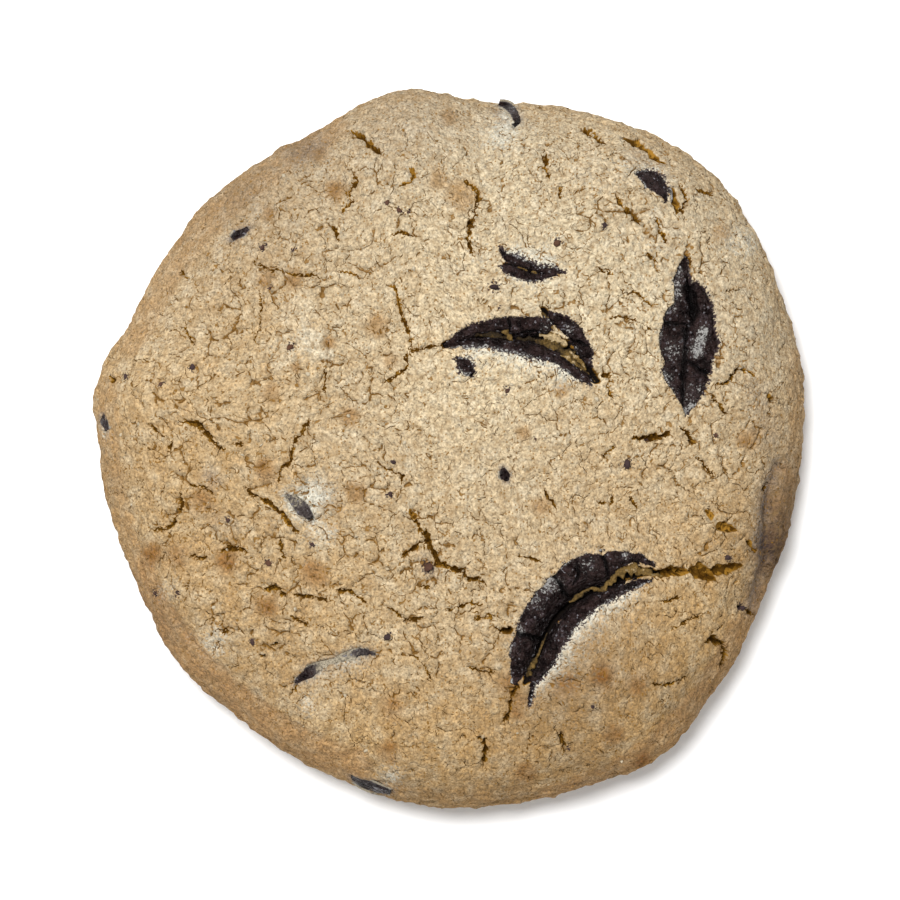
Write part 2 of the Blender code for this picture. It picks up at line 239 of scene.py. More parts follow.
chocolate = {
    "chunk_arch_left": {
        "route": [
            (-4.83, -1.48, 0.1), (-4.13, -0.98, 0.4), (-2.63, -0.18, 0.6), (-1.43, 0.17, 0.65),
            (0.07, 0.37, 0.65), (1.37, 0.32, 0.9), (2.57, 0.32, 0.95), (3.87, 0.47, 0.9),
            (4.67, 0.32, 0.75), (5.37, 0.02, 0.3),
        ],
        "sink": 0.3, "depth": 2.0, "left": 0.15, "right": 0.0,
        "splits": [
            (0.2, 0.5, [(2.27, -0.48), (3.67, -0.18), (4.87, -0.78)]),
            (0.2, 0.5, [(1.17, 1.32), (1.37, 0.32), (0.87, -0.68)]),
        ],
        "dust": [(4.87, 0.12, 0.4, 0.3)],
    },
    "chunk_arch_right": {
        "route": [
            (-2.31, 3.16, 0.3), (-1.41, 2.66, 0.75), (-0.51, 1.96, 0.85), (0.29, 1.16, 0.8),
            (0.89, 0.26, 0.75), (1.39, -0.54, 0.7), (1.59, -1.34, 0.5), (1.79, -1.94, 0.15),
        ],
        "sink": 0.3, "depth": 1.8, "left": 0.15, "right": 0.0,
        "splits": [
            (0.2, 0.6, [(-0.71, 0.56), (0.39, 0.56), (1.49, 0.16)]),
        ],
        "dust": [(-0.41, 1.86, 0.5, 0.3), (0.19, -0.24, 0.3, 0.4)],
    },
    "chunk_arch_lower": {
        "route": [
            (-7.61, 1.63, 0.1), (-6.41, 1.83, 0.25), (-4.41, 2.03, 0.35), (-2.41, 1.78, 0.5),
            (-0.41, 1.53, 0.65), (1.09, 1.23, 0.75), (2.59, 0.73, 0.85), (3.59, 0.33, 0.75),
            (4.59, -0.47, 0.6), (5.59, -1.27, 0.65), (6.29, -1.87, 0.45), (6.79, -2.27, 0.1),
        ],
        "sink": 0.15, "depth": 1.8, "left": 0.0, "right": 1.0,
    },
    "chunk_small_upper": {
        "route": [
            (-3.07, 1.21, 0.2), (-2.37, 0.51, 0.5), (-1.37, 0.11, 0.5), (-0.27, -0.29, 0.45),
            (0.93, -0.79, 0.4), (2.13, -0.89, 0.5), (3.23, -1.09, 0.2),
        ],
        "sink": 0.2, "depth": 1.4, "left": 1.0, "right": 0.0,
    },
    "chunk_small_lower": {
        "route": [
            (-2.53, 1.02, 0.15), (-1.63, 0.42, 0.5), (-0.53, 0.07, 0.55), (0.77, -0.28, 0.45),
            (2.17, -0.13, 0.25), (2.97, -0.08, 0.1),
        ],
        "sink": 0.25, "depth": 1.4, "left": 0.0, "right": 0.6,
    },
    "chunk_lens": {
        "route": [
            (-0.08, 8.13, 0.15), (-0.38, 7.23, 0.65), (-0.28, 5.53, 1.2), (0.42, 3.73, 1.75),
            (0.47, 2.53, 2.25), (0.22, 1.23, 2.7), (0.17, -0.77, 2.95), (0.07, -2.27, 3.0),
            (-0.03, -3.47, 2.5), (0.12, -4.77, 2.3), (0.02, -5.77, 1.7), (-0.03, -6.77, 0.95),
            (-0.23, -7.77, 0.2),
        ],
        "sink": 0.4, "depth": 2.6, "left": 0.3, "right": 0.35,
        "splits": [
            (0.6, 1.5, [(0.12, 6.13), (0.32, 4.53), (0.62, 2.93), (0.52, 1.63)]),
            (0.28, 0.9, [(0.52, 1.73), (-0.18, 0.73), (-0.28, -2.27), (-0.48, -4.77), (-0.48, -7.07)]),
            (0.3, 0.9, [(-0.08, -2.07), (0.72, -2.87), (1.72, -3.57), (2.92, -4.17)]),
            (0.25, 0.5, [(-2.88, 1.63), (-1.28, 1.33), (0.12, 1.43)]),
        ],
        "dust": [
            (1.62, 0.63, 0.4, 0.8), (1.22, -0.37, 0.45, 0.75), (0.92, -1.47, 0.45, 0.8),
            (-0.98, 6.73, 0.45, 0.5), (-1.18, 5.53, 0.5, 0.45), (-1.18, 4.33, 0.5, 0.45),
            (-1.48, 3.13, 0.4, 0.4), (-2.38, -3.97, 0.5, 0.65), (-2.18, -5.27, 0.5, 0.6),
            (-1.58, -6.07, 0.4, 0.6), (-0.38, -7.37, 0.35, 0.8), (0.42, -6.87, 0.3, 0.6),
            (-1.48, -1.27, 1.0, 0.3), (0.72, -5.47, 0.9, 0.3),
        ],
    },
    "chunk_crescent_upper": {
        "route": [
            (-6.8, -7.14, 0.15), (-6.3, -5.54, 0.95), (-5.9, -3.44, 1.15), (-5.3, -1.74, 1.25),
            (-4.4, 0.06, 1.3), (-3.2, 1.56, 1.35), (-1.7, 2.86, 1.45), (-0.0, 3.96, 1.6),
            (1.8, 4.56, 1.7), (3.3, 5.26, 1.2), (4.8, 5.56, 0.8), (6.1, 5.26, 0.45), (7.3, 4.76, 0.12),
        ],
        "sink": 0.1, "depth": 2.4, "left": 0.3, "right": 0.0,
        "splits": [
            (0.35, 0.9, [(-7.0, -1.84), (-5.5, -2.44), (-3.9, -2.74)]),
            (0.3, 0.8, [(-3.1, 4.06), (-2.3, 2.96), (-1.4, 1.36)]),
            (0.25, 0.6, [(1.9, 6.36), (2.3, 5.06), (2.7, 3.66)]),
            (0.2, 0.4, [(-0.7, 5.36), (-0.3, 4.06), (-0.9, 2.66)]),
        ],
        "dust": [
            (-3.3, 3.56, 0.5, 0.5), (-2.6, 2.86, 0.5, 0.4), (-3.7, 2.66, 0.6, 0.35),
            (-6.2, -1.84, 0.35, 0.6), (0.4, 4.96, 0.9, 0.28), (4.3, 5.86, 0.4, 0.4),
            (-4.7, 1.06, 0.9, 0.28),
        ],
    },
    "chunk_crescent_lower": {
        "route": [
            (6.13, 6.05, 0.12), (4.63, 5.65, 0.4), (2.93, 5.05, 0.55), (1.23, 4.25, 0.65),
            (-0.27, 3.35, 0.75), (-1.67, 2.25, 0.85), (-2.77, 0.85, 0.9), (-3.67, -0.75, 0.85),
            (-4.37, -2.15, 0.8), (-5.07, -3.25, 0.7), (-5.67, -4.25, 0.4), (-5.97, -5.45, 0.3),
            (-6.17, -6.45, 0.12),
        ],
        "sink": 0.2, "depth": 2.2, "left": 1.0, "right": 0.0,
    },
    "chunk_buried": {
        "route": [
            (-3.95, -2.04, 0.2), (-3.25, -1.44, 0.6), (-2.35, -0.84, 0.7), (-1.15, -0.14, 0.45),
            (0.25, 0.46, 0.4), (1.45, 0.86, 0.45), (2.45, 1.06, 0.55), (3.35, 1.06, 0.45),
            (4.05, 0.96, 0.12),
        ],
        "sink": 0.15, "depth": 1.6, "left": 0.1, "right": 0.25,
        "film": (0.08, [
            (-1.55, -0.44, 0.5, 0.6), (-0.75, 0.06, 0.5, 0.7), (0.25, 0.46, 0.6, 0.7),
            (1.35, 0.86, 0.5, 0.6), (2.65, 1.06, 0.6, 0.3),
        ]),
    },
    "chip_corner": {
        "route": [
            (-1.58, 1.27, 0.2), (-0.38, 0.87, 0.8), (0.32, 0.37, 1.0), (1.02, -0.53, 0.8),
            (1.42, -1.33, 0.4), (1.22, -1.73, 0.15),
        ],
        "sink": 0.2, "depth": 1.6, "left": 0.6, "right": 0.3,
    },
    "chip_top_edge": {
        "route": [
            (-1.32, 2.05, 0.2), (-0.42, 1.75, 0.4), (0.28, 0.95, 0.45), (0.58, 0.15, 0.45),
            (0.18, -0.35, 0.3),
        ],
        "sink": 0.05, "depth": 1.1, "left": 0.0, "right": 0.6,
        "film": (-0.1, [(-0.02, 1.15, 0.4, 0.3)]),
    },
    "chip_bottom_edge": {
        "route": [
            (-2.24, -0.02, 0.2), (-1.14, -0.62, 0.45), (0.26, -1.22, 0.45), (1.76, -1.62, 0.25),
        ],
        "sink": 0.05, "depth": 1.1, "left": 0.2, "right": 0.1,
        "film": (-0.12, []),
    },
    "chip_left_edge": {
        "route": [
            (-1.15, 0.78, 0.25), (-1.15, -0.02, 0.45), (-0.85, -0.82, 0.25),
        ],
        "sink": 0.0, "depth": 1.0, "left": 0.3, "right": 0.3,
        "film": (-0.05, []),
    },
    "chip_left": {
        "route": [
            (-1.39, 1.02, 0.3), (-0.59, 0.42, 0.7), (0.31, -0.48, 0.75), (1.01, -1.28, 0.4),
        ],
        "sink": 0.1, "depth": 1.3, "left": 0.6, "right": 0.5,
        "film": (0.28, [(-0.79, 0.72, 0.7, 0.3), (-0.09, 0.32, 0.5, 0.2)]),
    },
    "chip_dot": {
        "route": [
            (-0.91, 0.84, 0.4), (-0.11, 0.24, 0.75), (0.59, -0.56, 0.5),
        ],
        "sink": 0.1, "depth": 1.3, "left": 0.8, "right": 0.8,
    },
    "fleck_upper_left": {
        "route": [
            (-1.01, -0.34, 0.3), (-0.21, 0.26, 0.5), (0.59, 0.76, 0.3),
        ],
        "sink": 0.05, "depth": 0.9, "left": 0.1, "right": 0.1,
        "film": (0.05, []),
    },
    "fleck_centre": {
        "route": [
            (-0.22, 0.63, 0.3), (0.03, -0.07, 0.6), (0.13, -0.67, 0.3),
        ],
        "sink": 0.05, "depth": 0.9, "left": 0.1, "right": 0.1,
        "film": (0.05, []),
    },
}


def moved(places, shift):
    return [(place[0] + shift[0], place[1] + shift[1], *place[2:]) for place in places]


for nodeName, piece in chocolate.items():
    low, high = [np.array(corner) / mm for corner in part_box(nodeName)]
    shift = (low + high) / 2 - doughMiddle
    piece["route"] = moved(piece["route"], shift)
    piece["dust"] = moved(piece.get("dust", []), shift)
    piece["splits"] = [(half, deep, moved(route, shift)) for half, deep, route in piece.get("splits", [])]
    if "film" in piece:
        base, blobs = piece["film"]
        piece["film"] = (base, moved(blobs, shift))

# Cracks in the crust: half the width, depth, route

cracks = [
    (0.22, 1.0, [
        (1.4, 27.0), (2.5, 26.5), (2.9, 25.6), (2.6, 23.4), (2.1, 22.5), (1.8, 21.3), (2.4, 19.3),
    ]),
    (0.18, 0.8, [(-6.3, 16.6), (-5.4, 16.3), (-5.2, 15.2), (-4.7, 13.4), (-3.9, 11.3), (-3.7, 10.2)]),
    (0.18, 0.8, [(-9.7, 27.7), (-9.2, 27.0), (-10.1, 25.9), (-9.7, 25.0), (-10.5, 24.3), (-10.9, 23.6)]),
    (0.3, 0.9, [(-10.0, 31.8), (-8.8, 31.3), (-7.7, 30.4), (-6.7, 29.5)]),
    (0.14, 0.6, [(-4.0, 28.4), (-3.4, 27.4), (-4.3, 26.7), (-5.0, 26.3)]),
    (0.16, 0.6, [(-12.4, 22.9), (-11.5, 22.2), (-11.0, 20.8)]),
    (0.12, 0.5, [(-19.8, 18.8), (-16.7, 17.8), (-12.3, 17.3)]),
    (0.12, 0.5, [(-11.4, 17.9), (-10.1, 17.7), (-8.9, 17.2)]),
    (0.16, 0.6, [(-27.0, 18.3), (-26.6, 17.4), (-26.2, 17.3)]),
    (0.12, 0.5, [(-26.4, 12.9), (-26.2, 11.7), (-25.7, 10.4)]),
    (0.1, 0.4, [(-18.9, 16.0), (-18.9, 12.0), (-19.6, 11.1), (-19.1, 10.1)]),
    (0.14, 0.5, [(-5.7, 21.5), (-5.0, 21.8), (-3.4, 21.4)]),
    (0.2, 0.8, [(9.8, 29.9), (9.6, 28.4), (10.1, 27.0)]), (0.14, 0.5, [(11.2, 26.5), (11.2, 25.0)]),
    (0.26, 0.8, [(13.2, 32.4), (14.6, 31.8), (15.7, 30.9)]),
    (0.2, 0.8, [(16.5, 25.6), (17.3, 24.3), (18.2, 23.6), (19.5, 22.5)]),
    (0.18, 0.7, [(20.6, 23.3), (21.1, 22.2), (21.8, 20.6)]),
    (0.14, 0.6, [(23.6, 19.9), (24.1, 19.0), (24.3, 18.1)]), (0.12, 0.5, [(19.7, 20.2), (20.7, 18.8)]),
    (0.12, 0.5, [(14.7, 18.3), (15.7, 17.9), (16.5, 17.5)]), (0.12, 0.6, [(9.4, 14.9), (9.4, 13.9)]),
    (0.12, 0.5, [(17.0, 16.2), (17.5, 15.7), (18.8, 15.8), (20.2, 14.5), (21.1, 14.6)]),
    (0.12, 0.5, [(15.9, 13.3), (17.7, 13.3), (19.1, 12.9), (20.2, 12.0)]),
    (0.14, 0.5, [(27.7, 15.8), (29.3, 16.5)]),
    (0.24, 1.1, [(-27.1, 3.0), (-25.1, 2.6), (-24.4, 1.7), (-23.7, 0.8), (-22.3, -0.1)]),
    (0.16, 0.7, [(-29.9, 2.6), (-29.2, 1.9), (-28.5, 1.3)]), (0.14, 0.6, [(-27.7, 1.0), (-28.3, -0.4)]),
    (0.2, 1.0, [(-13.9, 3.1), (-15.5, 0.6), (-16.0, -1.3), (-16.9, -2.0), (-17.1, -3.3)]),
    (0.12, 0.5, [(-12.4, 8.3), (-12.4, 5.6)]), (0.16, 0.6, [(-21.5, 0.6), (-20.6, 0.5)]),
    (0.14, 0.6, [(-26.2, -3.5), (-24.8, -3.6), (-23.7, -4.3)]),
    (0.24, 1.1, [
        (-20.5, -3.6), (-19.8, -4.4), (-18.0, -5.2), (-16.5, -6.5), (-15.8, -7.6), (-14.9, -8.4),
    ]),
    (0.18, 0.8, [(-26.9, -4.2), (-26.8, -5.6), (-28.0, -7.6), (-28.7, -8.0), (-29.9, -8.1)]),
    (0.22, 0.9, [(-23.0, -10.2), (-22.1, -9.8), (-21.2, -9.7), (-19.9, -10.2)]),
    (0.16, 0.7, [(-26.0, -10.6), (-24.6, -10.9), (-24.2, -10.6)]),
    (0.14, 0.6, [(-16.9, -8.6), (-16.8, -10.1), (-16.5, -10.9)]),
    (0.22, 0.9, [(-18.5, -14.0), (-17.4, -13.7), (-16.3, -14.6)]),
    (0.14, 0.5, [(-15.7, -14.3), (-13.9, -14.7), (-11.7, -15.2)]),
    (0.18, 0.7, [(-11.5, -13.9), (-9.7, -14.2), (-8.3, -15.3)]),
    (0.16, 0.7, [(-4.3, 9.9), (-4.2, 8.3), (-5.5, 7.4), (-6.6, 6.7)]),
    (0.16, 0.7, [(-4.0, 9.9), (-2.0, 10.2), (0.2, 10.8)]),
    (0.2, 0.9, [(-7.3, -1.3), (-6.1, -1.9), (-4.8, -2.6), (-4.9, -3.6)]),
    (0.26, 1.2, [
        (-3.8, -5.9), (-3.5, -6.9), (-2.2, -8.8), (-1.6, -10.1), (-1.1, -11.3), (0.5, -11.9),
        (2.0, -12.9), (3.0, -12.9), (3.9, -13.6),
    ]),
    (0.24, 1.0, [(-2.3, -8.8), (-3.2, -9.5), (-4.8, -10.8)]),
    (0.18, 0.8, [(-6.1, -15.6), (-5.2, -16.4), (-4.1, -17.1), (-2.5, -16.7)]),
    (0.14, 0.6, [(-2.9, -13.7), (-1.8, -13.7)]), (0.16, 0.6, [(6.8, -10.6), (8.0, -10.8), (9.3, -11.3)]),
    (0.14, 0.5, [(15.0, -1.3), (15.5, -0.4), (16.6, 0.3)]),
    (0.12, 0.5, [(9.5, -3.8), (10.2, -5.1), (10.7, -6.0)]),
    (0.12, 0.5, [(14.7, -5.2), (16.3, -5.4), (16.3, -4.4)]), (0.24, 0.8, [(15.2, 7.6), (16.3, 7.4)]),
    (0.12, 0.5, [(15.8, 6.9), (16.3, 5.1)]),
    (0.24, 1.1, [(18.2, 1.2), (19.7, 1.1), (21.1, 1.3), (22.2, 1.8)]),
    (0.24, 1.0, [(23.2, 2.4), (24.0, 1.5), (24.7, 0.6)]),
    (0.24, 1.0, [(26.6, 6.7), (27.7, 6.7), (29.1, 8.1), (30.7, 7.4)]),
    (0.14, 0.6, [(26.1, 5.5), (27.2, 4.4), (27.9, 3.5)]), (0.22, 0.7, [(31.8, 5.6), (32.7, 4.8)]),
    (0.14, 0.5, [(24.7, -0.6), (25.7, -1.7), (26.6, -2.7)]), (0.14, 0.5, [(18.1, -4.7), (19.0, -5.8)]),
    (0.25, 1.0, [(18.6, -12.0), (20.4, -12.4), (22.6, -12.0), (24.4, -12.2)]),
    (0.2, 0.7, [(29.8, -9.0), (30.7, -10.1)]), (0.12, 0.6, [(31.9, -2.5), (31.8, -4.5)]),
    (0.2, 0.9, [(23.2, 26.8), (23.6, 25.9), (23.9, 25.1), (23.4, 24.5), (23.4, 23.6)]),
    (0.16, 0.7, [(-34.0, 7.4), (-33.6, 6.6)]), (0.25, 0.8, [(29.0, -15.8), (30.7, -16.4)]),
    (0.3, 0.9, [(25.7, -19.4), (26.6, -19.0), (27.7, -19.7), (27.4, -22.1)]),
    (0.14, 0.6, [(-15.8, -16.4), (-15.0, -17.1), (-14.0, -17.6)]),
    (0.22, 0.9, [(-17.9, -19.5), (-17.0, -19.3)]), (0.22, 0.8, [(-19.0, -20.6), (-18.4, -20.6)]),
    (0.12, 0.5, [(-23.3, -18.1), (-22.0, -18.2)]),
    (0.14, 0.5, [(-15.6, -22.6), (-15.2, -23.5), (-15.9, -24.6)]),
    (0.14, 0.6, [(-0.4, -15.9), (0.7, -15.8), (2.0, -15.3), (3.4, -15.4)]),
    (0.14, 0.6, [(2.3, -16.9), (3.9, -16.5), (4.3, -17.1)]),
    (0.24, 1.2, [(4.5, -17.8), (5.2, -18.0), (6.4, -17.9)]),
    (0.14, 0.6, [(2.0, -21.7), (3.2, -22.1), (4.5, -22.2)]),
    (0.18, 0.9, [(6.6, -22.8), (6.8, -23.5), (6.2, -25.3), (5.7, -26.7), (5.2, -27.3)]),
    (0.22, 0.9, [(2.5, -28.7), (3.4, -29.0), (3.6, -29.9), (3.4, -31.7)]),
    (0.2, 0.8, [(11.2, -28.3), (11.5, -29.4), (11.4, -30.3)]),
    (0.1, 0.4, [(-4.5, -20.3), (-3.0, -21.0), (-2.3, -21.7), (-1.6, -23.3)]),
    (0.1, 0.4, [(22.2, -18.0), (23.6, -17.2), (25.9, -16.2)]),
    (0.12, 0.5, [(20.7, -15.1), (21.8, -15.3), (23.6, -14.4)]),
    (0.12, 0.5, [(20.0, -23.3), (21.8, -23.7), (24.3, -22.4)]),
]

# Splits that lie open between two lips of chocolate: width, depth, route
splits = [
    (1.1, 2.0, [
        (-0.3, 10.5), (2.0, 11.2), (5.2, 11.3), (7.0, 11.1), (8.8, 11.0), (10.5, 10.7), (12.0, 9.8),
        (13.2, 8.6), (14.7, 6.9),
    ]),
    (0.5, 1.0, [(9.2, 14.3), (9.8, 13.2), (10.4, 12.0)]),
    (0.45, 1.0, [(5.5, 18.7), (7.0, 18.2), (8.5, 17.8), (10.0, 17.6)]),
    (1.0, 2.2, [
        (7.6, -23.4), (8.3, -21.9), (8.75, -20.5), (9.25, -19.0), (9.95, -17.6), (10.75, -16.3),
        (11.7, -15.3), (12.9, -14.7), (14.1, -14.2), (15.2, -13.7), (16.4, -12.9), (17.6, -12.3),
        (19.1, -12.1), (21.0, -12.3),
    ]),
]

# Places where the crust broke away and the golden inside shows
pits = [
    (0.35, 0.7, [(22.0, 26.4), (22.6, 25.6), (22.9, 24.6), (22.7, 23.9)]),
    (0.32, 0.5, [(17.7, 31.5), (19.1, 30.6), (20.4, 29.9), (21.5, 29.0)]),
    (0.2, 0.3, [(24.9, 26.3), (25.8, 26.0), (26.6, 25.7)]),
    (0.42, 0.8, [(19.4, -12.2), (21.5, -12.4), (24.0, -12.1)]),
    (0.8, 1.0, [(24.2, -11.9), (25.7, -12.3), (26.4, -12.9)]),
    (0.5, 0.8, [(26.2, -12.1), (27.6, -11.9), (29.2, -11.6)]),
    (0.35, 0.7, [(26.9, -7.4), (28.1, -7.8), (28.8, -8.0)]), (0.25, 0.4, [(25.7, -5.9), (26.3, -6.8)]),
    (0.25, 0.5, [(30.0, -9.0), (30.7, -10.1)]), (0.3, 0.7, [(-3.9, -5.9), (-3.4, -6.9)]),
    (0.35, 0.7, [(5.0, -17.9), (6.3, -18.1)]), (0.3, 0.6, [(-4.0, 28.2), (-3.2, 27.4)]),
]

# Where the side wall folds in under the crust
folds = [
    (0.9, 0.55, [(33.2, -1.0), (32.4, -4.0), (31.9, -8.0), (31.7, -11.0), (31.0, -13.5), (30.4, -16.0)]),
    (0.6, 0.22, [
        (-29.4, -13.3), (-27.1, -17.6), (-23.9, -21.5), (-20.0, -24.6), (-15.8, -27.4), (-11.0, -29.6),
    ]),
    (0.5, 0.18, [(-11.0, 31.6), (-15.0, 29.4), (-19.0, 26.6), (-23.0, 22.6)]),
]

# How the crust differs from place to place: x, y, spread, amount

